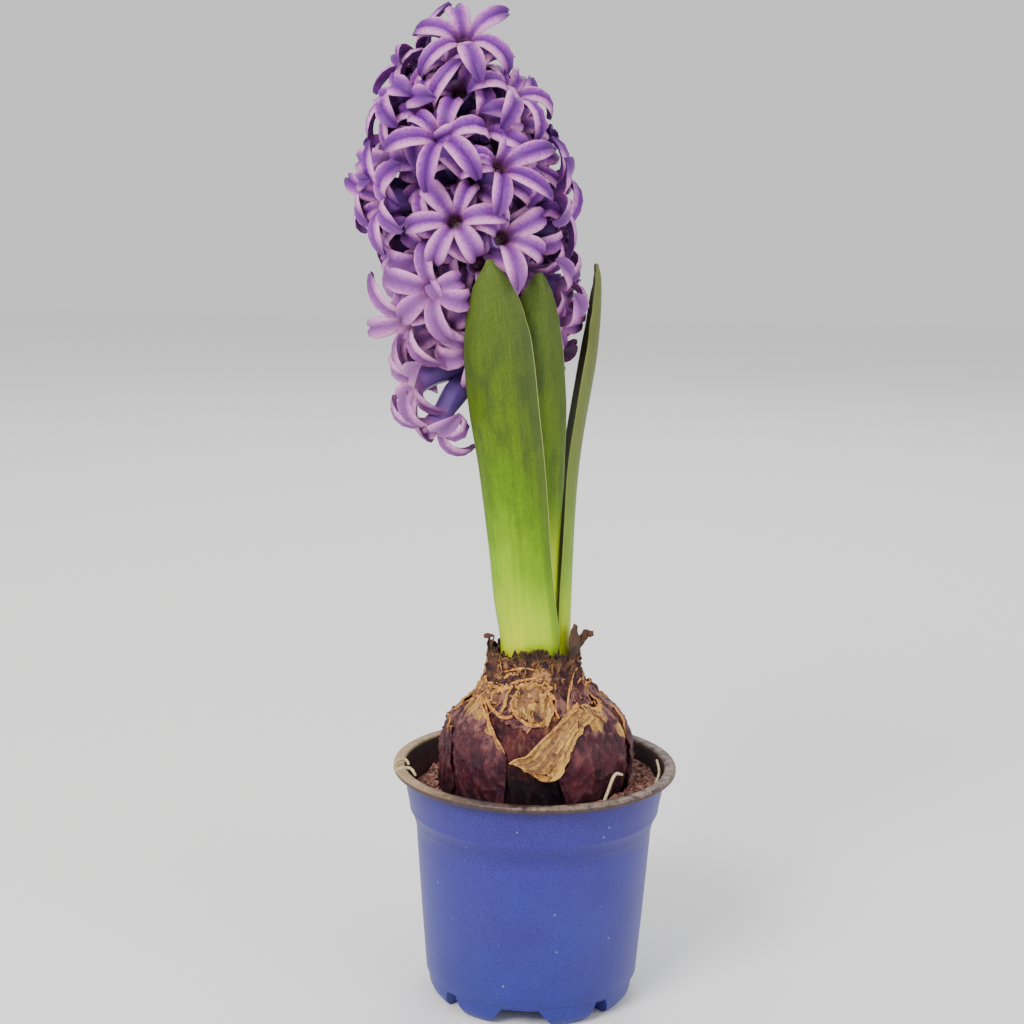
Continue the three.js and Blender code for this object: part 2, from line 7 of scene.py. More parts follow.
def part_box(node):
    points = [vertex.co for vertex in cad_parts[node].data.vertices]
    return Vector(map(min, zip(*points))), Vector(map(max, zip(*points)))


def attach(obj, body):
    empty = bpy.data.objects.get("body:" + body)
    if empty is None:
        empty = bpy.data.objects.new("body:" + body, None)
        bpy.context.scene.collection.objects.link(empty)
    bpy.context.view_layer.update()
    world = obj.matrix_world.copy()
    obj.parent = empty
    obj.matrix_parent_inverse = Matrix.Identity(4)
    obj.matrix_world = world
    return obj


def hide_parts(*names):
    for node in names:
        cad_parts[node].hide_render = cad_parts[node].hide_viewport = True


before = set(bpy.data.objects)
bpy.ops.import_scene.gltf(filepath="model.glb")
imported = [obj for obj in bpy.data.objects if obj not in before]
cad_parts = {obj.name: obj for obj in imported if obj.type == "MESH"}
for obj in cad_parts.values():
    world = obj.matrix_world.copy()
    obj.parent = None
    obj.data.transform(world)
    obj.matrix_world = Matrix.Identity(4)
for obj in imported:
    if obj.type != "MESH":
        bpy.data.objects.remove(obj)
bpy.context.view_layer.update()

# Lengths below are in millimetres, measured from the pot's axis on the ground; the viewer stands
# at azimuth -90
mm = 0.001
potLow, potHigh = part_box("pot")
potMiddle = ((potLow.x + potHigh.x) / 2, (potLow.y + potHigh.y) / 2)


def spot(x, y, z):
    return Vector((potMiddle[0] + x * mm, potMiddle[1] + y * mm, z * mm))


def lerp(a, b, t):
    return a + (b - a) * t


# Points at even steps from 0 to 1, as rows
def edgeRows(points):
    return [(i / (len(points) - 1), *point) for i, point in enumerate(points)]


def smoothStep(x, low, high):
    t = min(1, max(0, (x - low) / (high - low)))
    return t * t * (3 - 2 * t)


# Reads rows [key, value, value...] between two keys along a straight line
def readRows(rows, key):
    if key <= rows[0][0]:
        return list(rows[0][1:])
    if key >= rows[-1][0]:
        return list(rows[-1][1:])
    after = next(i for i, row in enumerate(rows) if row[0] > key)
    low, high = rows[after - 1], rows[after]
    part = (key - low[0]) / (high[0] - low[0])
    return [lerp(a, b, part) for a, b in zip(low[1:], high[1:])]


# The same along a smooth curve through the rows
def smoothRows(rows, key):
    if key <= rows[0][0]:
        return list(rows[0][1:])
    if key >= rows[-1][0]:
        return list(rows[-1][1:])
    after = next(i for i, row in enumerate(rows) if row[0] > key)
    low, high = rows[after - 1], rows[after]
    span = high[0] - low[0]
    before = rows[max(0, after - 2)]
    beyond = rows[min(len(rows) - 1, after + 1)]
    t = (key - low[0]) / span
    values = []
    for i in range(1, len(low)):
        leave = (high[i] - before[i]) / (high[0] - before[0]) * span
        arrive = (beyond[i] - low[i]) / (beyond[0] - low[0]) * span
        values.append(
            (2 * t ** 3 - 3 * t ** 2 + 1) * low[i] + (t ** 3 - 2 * t ** 2 + t) * leave
            + (3 * t ** 2 - 2 * t ** 3) * high[i] + (t ** 3 - t ** 2) * arrive
        )
    return values


# A point on a ring round the middle, as x and y
def onRing(radius, azimuth):
    angle = math.radians(azimuth)
    return radius * math.cos(angle), radius * math.sin(angle)


# The same on a ball, v of the way up it, with u from 0 to 1 round it
def onBall(u, v):
    angle, out = 2 * math.pi * u, math.sin(math.pi * v)
    return out * math.cos(angle), out * math.sin(angle)


def rough(x, y, z, size):
    return noise.noise(Vector((x, y, z)) / size)


def rougher(x, y, z, size, octaves=3):
    return noise.fractal(Vector((x, y, z)) / size, 0.9, 2.1, octaves)


# Random numbers from 0 to 1, the same for a seed as those that place the solids' florets
class SeededDraw:
    def __init__(self, seed):
        self.state = seed

    def __call__(self):
        self.state = (self.state + 0x6D2B79F5) & 0xFFFFFFFF
        t = ((self.state ^ (self.state >> 15)) * (1 | self.state)) & 0xFFFFFFFF
        t = ((t + (((t ^ (t >> 7)) * (61 | t)) & 0xFFFFFFFF)) & 0xFFFFFFFF) ^ t
        return (t ^ (t >> 14)) / 4294967296


# Shader maths, written as expressions

class Wire:
    def __init__(self, paint, socket):
        self.paint = paint
        self.socket = socket

    def maths(self, operation, *values):
        return self.paint.node("ShaderNodeMath", {"operation": operation}, dict(enumerate(values)))

    def __add__(self, other):
        return self.maths("ADD", self, other)

    __radd__ = __add__

    def __sub__(self, other):
        return self.maths("SUBTRACT", self, other)

    def __rsub__(self, other):
        return self.maths("SUBTRACT", other, self)

    def __mul__(self, other):
        return self.maths("MULTIPLY", self, other)

    __rmul__ = __mul__

    def __truediv__(self, other):
        return self.maths("DIVIDE", self, other)

    def __pow__(self, other):
        return self.maths("POWER", self, other)


class Paint:
    def __init__(self, name):
        self.material = bpy.data.materials.new(name)
        self.material.use_nodes = True
        self.nodes = self.material.node_tree.nodes
        self.links = self.material.node_tree.links
        self.shader = self.nodes["Principled BSDF"]

    def node(self, kind, settings, values, output=0):
        made = self.nodes.new(kind)
        for key, value in settings.items():
            if key == "stops":
                ramp = made.color_ramp
                while len(ramp.elements) < len(value):
                    ramp.elements.new(0.5)
                for element, (place, colour) in zip(ramp.elements, value):
                    element.position = place
                    element.color = colour
            else:
                setattr(made, key, value)
        for key, value in values.items():
            if isinstance(value, Wire):
                self.links.new(value.socket, made.inputs[key])
            else:
                made.inputs[key].default_value = value
        return Wire(self, made.outputs[output])

    def set(self, **values):
        for key, value in values.items():
            socket = self.shader.inputs[key.replace("_", " ")]
            if isinstance(value, Wire):
                self.links.new(value.socket, socket)
            else:
                socket.default_value = value

    # Where a point lies, in millimetres
    def place(self):
        where = self.node("ShaderNodeTexCoord", {}, {}, "Object")
        return self.node("ShaderNodeVectorMath", {"operation": "SCALE"}, {0: where, "Scale": 1 / mm})

    def parts(self, vector):
        split = self.nodes.new("ShaderNodeSeparateXYZ")
        self.links.new(vector.socket, split.inputs[0])
        return [Wire(self, split.outputs[i]) for i in range(3)]

    def sheet(self):
        return self.node("ShaderNodeUVMap", {"uv_map": "UVMap"}, {})

    def attribute(self, name):
        return self.node("ShaderNodeAttribute", {"attribute_name": name}, {}, "Fac")

    def stretch(self, vector, x, y, z):
        return self.node("ShaderNodeMapping", {}, {"Vector": vector, "Scale": (x, y, z)})

    def noise(self, vector, scale, detail=3, roughness=0.55):
        values = {"Vector": vector, "Scale": scale, "Detail": detail, "Roughness": roughness}
        return self.node("ShaderNodeTexNoise", {}, values)

    def cells(self, vector, scale):
        return self.node("ShaderNodeTexVoronoi", {}, {"Vector": vector, "Scale": scale}, "Distance")

    def step(self, value, low, high):
        settings = {"interpolation_type": "SMOOTHSTEP"}
        return self.node("ShaderNodeMapRange", settings, {0: value, 1: low, 2: high, 3: 0.0, 4: 1.0})

    def mix(self, part, first, second):
        settings = {"data_type": "RGBA", "clamp_factor": True}
        return self.node("ShaderNodeMix", settings, {0: part, 6: first, 7: second}, 2)

    def bump(self, height, strength, distance):
        values = {"Height": height, "Strength": strength, "Distance": distance * mm}
        return self.node("ShaderNodeBump", {}, values)

    # Lays a colour over what is there, as far as a mask says
    def over(self, mask, colour):
        self.colour = self.mix(mask, self.colour, colour)

    # Puts the colour laid so far and a height for the bumps on the shader
    def done(self, height, strength, distance, **values):
        self.set(Base_Color=self.colour, Normal=self.bump(height, strength, distance), **values)
        return self


# A colour as it looks on a screen, given in 0 to 255
def tint(*shades):
    return tuple(((c / 255 + 0.055) / 1.055) ** 2.4 if c > 10 else c / 3295 for c in shades) + (1.0,)


# Modelling helpers

def deselectAll():
    bpy.ops.object.select_all(action="DESELECT")


def pick(*pieces):
    deselectAll()
    for piece in pieces:
        piece.select_set(True)
    bpy.context.view_layer.objects.active = pieces[0]


def editAll(piece, *steps):
    pick(piece)
    bpy.ops.object.mode_set(mode="EDIT")
    bpy.ops.mesh.select_all(action="SELECT")
    for step in steps:
        step()
    bpy.ops.object.mode_set(mode="OBJECT")


def weld(threshold=0.01):
    bpy.ops.mesh.remove_doubles(threshold=threshold * mm)


def faceOut():
    bpy.ops.mesh.normals_make_consistent(inside=False)


def applyModifier(piece, kind, **settings):
    modifier = piece.modifiers.new(kind.title(), kind)
    for key, value in settings.items():
        setattr(modifier, key, value)
    pick(piece)
    bpy.ops.object.modifier_apply(modifier=modifier.name)


def joined(pieces, name):
    pick(*pieces)
    bpy.ops.object.join()
    piece = bpy.context.object
    piece.name = name
    return piece


# A ball drawn out into a closed shape: u runs round it and v from its bottom pole to its top pole
def shapedBall(name, segments, rings, shape):
    deselectAll()
    bpy.ops.mesh.primitive_uv_sphere_add(segments=segments, ring_count=rings, radius=1)
    piece = bpy.context.object
    piece.name = name
    for vertex in piece.data.vertices:
        x, y, z = vertex.co
        ring = round((1 - math.acos(max(-1, min(1, z))) / math.pi) * rings)
        u = round(math.atan2(y, x) / (2 * math.pi) * segments) % segments / segments
        vertex.co = shape(0 if ring in (0, rings) else u, ring / rings)
    editAll(piece, faceOut)
    return piece


# A closed shape turned from a profile of [radius, height]: a disc drawn out ring by ring
def turned(name, segments, profile):
    deselectAll()
    centre = spot(0, 0, 0)
    radius, z = profile[0]
    bpy.ops.mesh.primitive_circle_add(
        vertices=segments, radius=radius * mm, fill_type="NGON", location=spot(0, 0, z))
    piece = bpy.context.object
    piece.name = name
    bpy.ops.object.transform_apply(location=True, rotation=True, scale=True)
    bpy.ops.object.mode_set(mode="EDIT")
    bpy.ops.mesh.select_mode(type="EDGE")
    bpy.ops.mesh.select_all(action="SELECT")
    for nextRadius, nextZ in profile[1:]:
        bpy.ops.mesh.extrude_edges_move(TRANSFORM_OT_translate={"value": (0, 0, (nextZ - z) * mm)})
        part = nextRadius / radius
        bpy.ops.transform.resize(value=(part, part, 1), center_override=centre)
        radius, z = nextRadius, nextZ
    bpy.ops.mesh.edge_face_add()
    bpy.ops.mesh.select_all(action="SELECT")
    weld(0.001)
    faceOut()
    bpy.ops.object.mode_set(mode="OBJECT")
    return piece


# A thin round strand through points of [x, y, z, radius]
def strand(name, points, segments, rings):
    rows = edgeRows(points)

    def shape(u, v):
        places = (min(1, max(0, t)) for t in (v, v + 0.02, v - 0.02))
        here, ahead, back = (np.array(smoothRows(rows, place)) for place in places)
        way = (ahead - back)[:3]
        way /= np.linalg.norm(way)
        side = np.cross(way, (0, 0, 1))
        side /= np.linalg.norm(side)
        over = np.cross(side, way)
        girth = here[3] * (0 if v in (0, 1) else 1) * (1 + 0.25 * rough(v * 9, here[3] * 90, u, 1))
        angle = 2 * math.pi * u
        return spot(*(here[:3] + girth * (math.cos(angle) * side + math.sin(angle) * over)))

    return shapedBall(name, segments, rings, shape)


# An open sheet: u and v run from 0 to 1 across and along it
def shapedSheet(name, columns, rows, shape):
    deselectAll()
    bpy.ops.mesh.primitive_grid_add(x_subdivisions=columns, y_subdivisions=rows, size=2)
    piece = bpy.context.object
    piece.name = name
    for vertex in piece.data.vertices:
        vertex.co = shape((vertex.co.x + 1) / 2, (vertex.co.y + 1) / 2)
    return piece


# Numbers at each point of a piece, for its material to read
def mark(piece, **layers):
    for name, values in layers.items():
        piece.data.attributes.new(name, "FLOAT", "POINT").data.foreach_set("value", values)


def finish(piece, nodes, paints, angle=40):
    pick(piece)
    bpy.ops.object.shade_smooth_by_angle(angle=math.radians(angle))
    piece.data.materials.clear()
    for paint in paints:
        piece.data.materials.append(paint.material)
    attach(piece, "root")
    if nodes:
        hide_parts(*nodes)
    return piece


# Pot

pot = {
    "segments": 144, "lipHeight": 74.1, "insideFrom": 8,
    "notchHeight": 6.5, "notchBelow": 1, "notchOut": 29, "notchDeep": 18, "notchFirst": -95.3,
    "notchTurn": 47, "wide": (22.5, 11.5), "narrow": (10.4, 4),  # a notch's width at its foot and top
    "drainRadius": 4, "drainRing": 16, "drainDepth": 6, "floorMiddle": 7.8,
    "outside": [
        (24.9, 6.8), (25.8, 6.4), (26.1, 5.4), (26.2, 0.8), (26.7, 0.1), (27.4, 0),
        (29.2, 0), (30.2, 0.25), (31.3, 1.05), (32.3, 2.3), (32.9, 3.7), (33.15, 5.4), (33.2, 6.9),
        (33.3, 7.35), (33.7, 7.6), (34, 8.1), (34.3, 12), (35.6, 28), (36.7, 43), (37.4, 53),
        (37.55, 56.6), (37.9, 57.1), (38, 57.5), (38.1, 58), (39.1, 60.8), (39.6, 61.5), (39.75, 61.9),
        (39.75, 62.4), (40.3, 65.6), (40.8, 68), (41.15, 72.8), (41.3, 73.8), (41.7, 74.25), (42.4, 74.3),
        (44, 74.25), (44.7, 74.3), (44.95, 74.6), (45, 75.1), (44.95, 75.6), (44.75, 76), (44.3, 76.25),
        (43.6, 76.3), (42.3, 76.25), (41.75, 76.1), (41.4, 75.7), (41.2, 74.8),
    ],
    "inside": [
        (39.9, 68.6), (39.3, 65.6), (38.6, 62.6), (38.2, 61.5), (37.4, 59.6), (36.7, 58.1), (36.45, 57),
        (36.3, 55), (34.6, 33), (33.1, 12), (32.8, 9.6), (32.2, 8.7), (31.2, 8.4), (28.5, 8.4),
    ],
}


def notchBlock(azimuth, widths):
    wide, narrow = widths
    height = pot["notchHeight"] + pot["notchBelow"]
    middle = spot(*onRing(pot["notchOut"], azimuth), height / 2 - pot["notchBelow"])
    deselectAll()
    bpy.ops.mesh.primitive_cube_add(
        size=1, location=middle, rotation=(0, 0, math.radians(azimuth)),
        scale=(pot["notchDeep"] * mm, wide * mm, height * mm))
    block = bpy.context.object
    for vertex in block.data.vertices:
        if vertex.co.z > 0:
            vertex.co.y *= narrow / wide
    return block


def drainDrill(x, y):
    deselectAll()
    bpy.ops.mesh.primitive_cylinder_add(
        vertices=32, radius=pot["drainRadius"] * mm, depth=pot["drainDepth"] * mm,
        location=spot(x, y, pot["floorMiddle"]))
    return bpy.context.object


def makePot(paints):
    body = turned("potBody", pot["segments"], pot["outside"] + pot["inside"])
    cutters = [drainDrill(0, 0)]
    for quarter in range(4):
        azimuth = pot["notchFirst"] + 90 * quarter
        cutters.append(notchBlock(azimuth, pot["wide"]))
        cutters.append(notchBlock(azimuth + pot["notchTurn"], pot["narrow"]))
        cutters.append(drainDrill(*onRing(pot["drainRing"], azimuth + 45)))
    cutter = joined(cutters, "potCutter")
    applyModifier(body, "BOOLEAN", operation="DIFFERENCE", object=cutter, solver="EXACT")
    bpy.data.objects.remove(cutter, do_unlink=True)
    finish(body, ["pot"], paints)
    for face in body.data.polygons:
        x, y, z = face.center.x - potMiddle[0], face.center.y - potMiddle[1], face.center.z / mm
        facesAxis = face.normal.x * x + face.normal.y * y < -0.3 * math.hypot(x, y)
        inside = z > pot["insideFrom"] and (facesAxis or face.normal.z > 0.5)
        face.material_index = 1 if inside or z > pot["lipHeight"] else 0


def potPaint():
    paint = Paint("potBlue")
    where = paint.place()
    z = paint.parts(where)[2]
    grain = paint.noise(where, 2.4, 2, 0.7)
    cloud = paint.noise(where, 0.05, 3)
    # Colour by height, standing in for light: lighter low down as painted light bounced from the floor,
    # darker near the top, and a dark line under the shoulder step (stop 0.79) as painted shade
    band = paint.node("ShaderNodeValToRGB", {"stops": [
        (0.0, tint(26, 40, 120)), (0.45, tint(36, 38, 126)), (0.72, tint(36, 30, 122)),
        (0.79, tint(24, 15, 98)), (0.84, tint(38, 24, 116)), (1.0, tint(34, 18, 100)),
    ]}, {0: (z + 4 * cloud) / 76})
    paint.colour = paint.mix(paint.step(grain, 0.34, 0.66) * 0.55, band, tint(52, 52, 150))
    paint.over(paint.step(grain, 0.5, 0.3) * 0.35, tint(22, 18, 84))
    paint.over(paint.step(cloud, 0.42, 0.72) * 0.35, tint(38, 24, 104))
    dusty = paint.step(paint.noise(where, 0.13), 0.54, 0.62)
    dust = paint.step(paint.cells(where, 0.24), 0.12, 0.04) * dusty
    paint.over(dust * 0.75, tint(150, 138, 150))
    # Painted shade under the overhanging lip, darkening the top of the blue wall
    lipShade = paint.step(z + 5 * paint.noise(where, 0.3), 73.5, 78)
    paint.over(lipShade * 0.7, tint(34, 24, 44))
    dirt = paint.step(paint.noise(where, 0.45, 4), 0.63, 0.72) * paint.step(z, 66, 73)
    paint.over(dirt * 0.6, tint(60, 44, 52))
    streak = paint.noise(paint.stretch(where, 1, 1, 0.08), 0.7, 2)
    return paint.done(
        grain * 0.6 + streak * 0.6, 0.4, 0.12, Roughness=0.36 + 0.16 * grain, Specular_IOR_Level=0.4)


def rimPaint():
    paint = Paint("potRim")
    where = paint.place()
    x, y, z = paint.parts(where)
    out = (x * x + y * y) ** 0.5
    wear = paint.noise(where, 0.35, 5, 0.65)
    scratch = paint.noise(paint.stretch(where, 1, 1, 3), 0.8, 4, 0.7)
    # The rim's top lighter towards the left: painted highlight on the lit side, with wear
    litLeftAndWorn = paint.step(x + (wear - 0.5) * 50, -10, -42) * paint.step(z, 75.2, 75.9)
    dull = paint.step(wear + (scratch - 0.5) * 0.4, 0.36, 0.68)
    paint.colour = paint.mix(dull, tint(50, 34, 36), tint(90, 70, 60))
    paint.over(litLeftAndWorn * 0.85, tint(186, 154, 110))
    # A thin light line along the lip's outer edge: painted highlight
    edgeHighlight = paint.step(out, 44.1, 44.6) * paint.step(z, 75.3, 75.8) * paint.step(wear, 0.35, 0.6)
    paint.over(edgeHighlight * 0.3, tint(184, 160, 140))
    # Darker below the rim's top face: painted shade on the lip's side, its underside and the top of the
    # inner wall
    low = paint.step(z + 1.2 * wear, 76.4, 75.4)
    paint.over(low * 0.8, tint(50, 32, 40))
    lining = paint.step(z, 72, 66) * 0.7
    paint.over(lining, tint(80, 46, 50))
    crumbs = paint.step(paint.noise(where, 1.3, 4), 0.56, 0.68) * paint.step(z, 75.9, 71)
    paint.over(crumbs * 0.8, tint(54, 38, 36))
    return paint.done(
        wear + crumbs + scratch * 0.5, 0.5, 0.2, Roughness=0.3 + 0.3 * wear, Specular_IOR_Level=0.4)


# Bulb, its profile as [height, radius, x of the middle]

bulb = {
    "x": -0.8, "bottom": 50, "neckTop": 112.5, "cup": 11.6, "cupFloor": 103, "bareMiddle": 266,
    "segments": 260, "steps": 80,
    "profile": [
        (50, 8, -0.8), (52, 16.4, -0.8), (58, 24.6, -0.8), (66, 27.4, -0.8), (72, 28.1, -0.1),
        (78, 28.4, 0.4), (84, 28.2, 0.5), (88, 27, 0.5), (92, 24.8, 0.5), (95, 22.2, 0.5),
        (97.5, 19.2, 0.3), (100, 16.8, -0.1), (103, 14.8, -0.6), (107, 13.3, -0.8), (112.5, 12.7, -0.8),
    ],
}


def bulbSpot(azimuth, z, offset):
    radius, x = smoothRows(bulb["profile"], min(z, bulb["neckTop"]))
    out, across = onRing(radius + offset, azimuth)
    return spot(x + out, across, z)


# Ridged wrinkles of dry scale, running mostly upwards
def wrinkles(azimuth, z, seed, size):
    x, y = onRing(26, azimuth)
    x, y = x + 0.3 * z, y - 0.15 * z
    broad = max(0, 1 - 2.4 * abs(rough(x, y, 0.4 * z + 9 * seed, size)))
    narrow = max(0, 1 - 2.6 * abs(rough(x, y, 0.55 * z + 5 * seed, 0.42 * size)))
    return 0.75 * broad ** 2 + 0.4 * narrow ** 2 + 0.6 * rough(x, y, z + seed, 1.7 * size)


def makeBulb(paint):
    bottom, top, floor = bulb["bottom"], bulb["neckTop"], bulb["cupFloor"]
    heights = [lerp(bottom, top, i / bulb["steps"]) for i in range(bulb["steps"] + 1)]
    cupHeights = [top, lerp(top, floor, 1 / 3), floor]
    rings = len(heights) + len(cupHeights) + 1
    relief = []

    def shape(u, v):
        ring = round(v * rings)
        relief.append(0)
        if ring == 0:
            return spot(bulb["x"], 0, bottom)
        if ring == rings:
            return spot(bulb["x"], 0, floor)
        azimuth = 360 * u
        if ring > len(heights):
            x, y = onRing(bulb["cup"], azimuth)
            return spot(bulb["x"] + x, y, cupHeights[ring - len(heights) - 1])
        z = heights[ring - 1]
        ribs = 0.12 * math.sin(azimuth * 0.61) * math.sin(azimuth * 0.37)
        ribs += 0.1 * rough(azimuth, 0, z * 0.05, 2.2)
        bare = smoothStep(abs(azimuth - bulb["bareMiddle"]), 28, 14)
        relief[-1] = wrinkles(azimuth, z, 4, 5)
        dents = 0.35 * rougher(*onRing(20, azimuth), z, 11) + (0.5 + 0.7 * bare) * relief[-1]
        dry = 0.35 * rougher(*onRing(30, azimuth), z, 3.2) * smoothStep(z, 94, 99)
        return bulbSpot(azimuth, z, (ribs + dents + dry) * smoothStep(z, 60, 70) - 0.2)

    piece = shapedBall("bulbScales", bulb["segments"], rings, shape)
    mark(piece, relief=relief)
    return finish(piece, ["bulb"], [paint], 60)


def bulbPaint():
    paint = Paint("bulbScale")
    where = paint.place()
    z = paint.parts(where)[2]
    relief = paint.attribute("relief")
    veins = paint.noise(paint.stretch(where, 1, 1, 0.12), 0.95, 4)
    cloud = paint.noise(where, 0.14, 5, 0.65)
    fine = paint.noise(where, 0.9, 3)
    paint.colour = paint.mix(paint.step(cloud, 0.38, 0.62), tint(46, 16, 28), tint(84, 40, 42))
    paint.over(paint.step(veins + (fine - 0.5) * 0.4, 0.5, 0.72) * 0.5, tint(126, 80, 58))
    # Ridges of the wrinkles lighter as painted highlight, grooves darker as painted shade
    paint.over(paint.step(relief, 0.5, 1.05) * 0.45, tint(142, 98, 72))
    paint.over(paint.step(relief, 0.1, -0.3) * 0.7, tint(24, 6, 16))
    patchy = paint.noise(paint.stretch(where, 1, 1, 1.6), 0.2, 4, 0.6)
    patch = paint.step(patchy, 0.47, 0.6) * paint.step(z, 92.5, 98)
    paint.over(patch * 0.8, tint(140, 94, 62))
    # Near-black towards the foot: painted shade between the bulb and the pot's rim, over dark old scales
    dark = paint.step(z + 9 * (cloud - 0.5) + 5 * (fine - 0.5), 86, 78)
    paint.over(dark * 0.94, tint(13, 4, 12))
    return paint.done(
        veins + cloud + fine * 0.6, 0.9, 0.5, Roughness=0.6 + 0.25 * cloud, Specular_IOR_Level=0.14)


# Papery scales over the bulb: an edge is [azimuth, height] from left to right, and a tan spot is
# [azimuth, height, half width, half height]

tunics = {
    "thick": 0.6, "gap": 0.75, "curl": 0.6, "rows": 56,
    "left": {
        "columns": 150, "from": 115, "to": 252,
        "bottom": [(115, 66.4), (252, 66.4)],
        "top": [(115, 98.6), (150, 98), (176, 96), (183, 93.4), (190, 97.5), (208, 99.8), (227, 96.4),
                (239, 92.6), (250, 87.8), (252, 86.2)],
        "tan": [(203, 97, 15, 3.8), (222, 96, 12, 2), (238, 92.5, 9, 1.3), (150, 97, 20, 3)],
    },
    "right": {
        "columns": 180, "from": -77, "to": 111,
        "bottom": [(-77, 79.6), (-72, 74), (-66, 67.4), (111, 66.6)],
        "top": [(-77, 81.8), (-70, 85), (-65, 92), (-58, 95.5), (-46, 98.8), (-33, 98), (6, 98.6),
                (50, 97.5), (111, 98.8)],
        "tan": [(-42, 95, 15, 4.4), (-30, 97.6, 9, 1.6), (-20, 90, 8, 3), (60, 96, 26, 3)],
    },
}


def makeTunic(name, key, node, paint):
    values = tunics[key]
    margins, tan, relief = [], [], []

    def shape(u, v):
        azimuth = lerp(values["from"], values["to"], u)
        low = smoothRows(values["bottom"], azimuth)[0]
        high = smoothRows(values["top"], azimuth)[0]
        high += 0.7 * rougher(azimuth, 3, 0, 7) + 0.4 * rough(azimuth, 9, 0, 1.4)
        z = lerp(low, high, v)
        side = min(u, 1 - u) * (values["to"] - values["from"]) * 0.48 + 4 * smoothStep(z, 87, 83)
        edge = min(side, high - z)
        margins.append(smoothStep(edge + 0.5 * rough(azimuth, z, 3, 4), 1.2, 0.1))
        spots = [
            1.1 - math.hypot((azimuth - middle) / width, (z - level) / height)
            for middle, level, width, height in values["tan"]
        ]
        tan.append(max(0, min(1, 1.2 * max(spots))))
        curl = tunics["curl"] * smoothStep(edge, 2.4, 0) ** 1.5
        raised = wrinkles(azimuth, z, 1, 5.5)
        relief.append(raised)
        off = tunics["gap"] + tunics["thick"] + raised * smoothStep(z, 66, 72) - 0.1 + curl
        return bulbSpot(azimuth, z, off)

    piece = shapedSheet(name, values["columns"], tunics["rows"], shape)
    mark(piece, margin=margins, tan=tan, relief=relief)
    applyModifier(piece, "SOLIDIFY", thickness=tunics["thick"] * mm, offset=-1)
    return finish(piece, [node], [paint], 60)


# Torn scales: seed, how far the scale lies off the bulb, how far its margins stand up, how ragged,
# how tan, how much less tan in its middle, then its left and its right edge from foot to top

scale = {
    "thick": 0.45,
    "degree": 0.34,  # width of a degree
    "spare": 4,  # added to the height
    "density": 1.3,  # columns for each row
}
outerScales = [
    (11, 1.75, 0.9, 1, 0, 0, [(150, 66.6), (152, 80), (158, 91)],
     [(213, 66.6), (213, 76), (210, 83), (201, 90.2)]),
    (12, 1.75, 0.8, 1, 0.25, 0, [(-15, 67), (-18, 77), (-17, 86.8), (-12, 92.8), (-2, 97)],
     [(92, 67), (94, 82), (96, 98)]),
    (14, 1.75, 0.7, 1, 0.1, 0, [(99, 67), (101, 80), (106, 94)], [(136, 67), (134, 80), (124, 96.4)]),
]
foldScale = [
    (13, 1.75, 1, 0.5, 0.95, 0.38,
     [(-106, 85.2), (-96, 87.4), (-88, 91.2), (-74, 95.5), (-60, 97.9), (-46, 99.4)],
     [(-91, 81.4), (-80, 79.6), (-72, 84.8), (-66, 90.4), (-56, 94), (-40, 96.2)]),
]
shoulderScales = [
    (22, 1.15, 0.5, 1.7, 0.95, 0.25, [(-112, 97.6), (-115, 100.4), (-110, 103.4)],
     [(-84, 94.8), (-76, 98.6), (-71, 102)]),
    (23, 1.5, 1, 1.2, 0.85, 0.4, [(-108, 101.6), (-106, 104), (-101, 106)],
     [(-82, 101), (-76, 103.2), (-70, 105.4)]),
    (24, 1.1, 1, 1, 0.8, 0.3, [(-178, 98.6), (-176, 101.6), (-170, 104.4)],
     [(-140, 99.4), (-136, 101.8), (-132, 104)]),
    (25, 0.95, 1, 1, 0.7, 0.4, [(-152, 100), (-146, 102.6), (-142, 105)],
     [(-121, 97.4), (-119, 100.6), (-117, 104.6)]),
    (30, 1.2, 0.9, 1.3, 0.7, 0, [(14, 97), (16, 101), (20, 104.6)], [(56, 97), (54, 101), (50, 105)]),
    (32, 1.1, 0.9, 1.3, 0.8, 0, [(90, 97), (92, 101), (96, 104)], [(132, 97), (130, 101), (124, 105.4)]),
    (33, 1.4, 0.9, 1.3, 0.4, 0, [(126, 98), (130, 102), (134, 106)], [(176, 98), (172, 102), (166, 104.6)]),
]
plumScales = [
    (21, 0.7, 0.5, 0.8, 0, 0, [(-133, 96.4), (-128, 99), (-122, 102)],
     [(-96, 93.6), (-92, 97), (-96, 101)]),
    (26, 0.9, 0.5, 0.6, 0, 0, [(-74, 96.6), (-70, 101), (-62, 106.6)],
     [(-58, 97.6), (-45, 102.4), (-32, 106.6)]),
    (27, 1.5, 0.9, 0.4, 0.3, 0, [(-62, 98.2), (-49, 103), (-31, 108.6)],
     [(-31, 98.4), (-24, 102.4), (-25, 109)]),
    (28, 1.7, 1.1, 1.4, 0.12, 0, [(-26, 96.6), (-23, 100.6), (-18, 104)],
     [(10, 96.4), (12, 100.4), (6, 103)]),
    (29, 1.2, 0.9, 1.2, 0.2, 0, [(-40, 100.4), (-36, 103), (-28, 105)],
     [(-6, 101), (-2, 103.4), (-4, 106.4)]),
    (31, 1.5, 0.9, 1.3, 0.2, 0, [(48, 98), (50, 102), (54, 106)], [(96, 98), (94, 102), (88, 105)]),
]
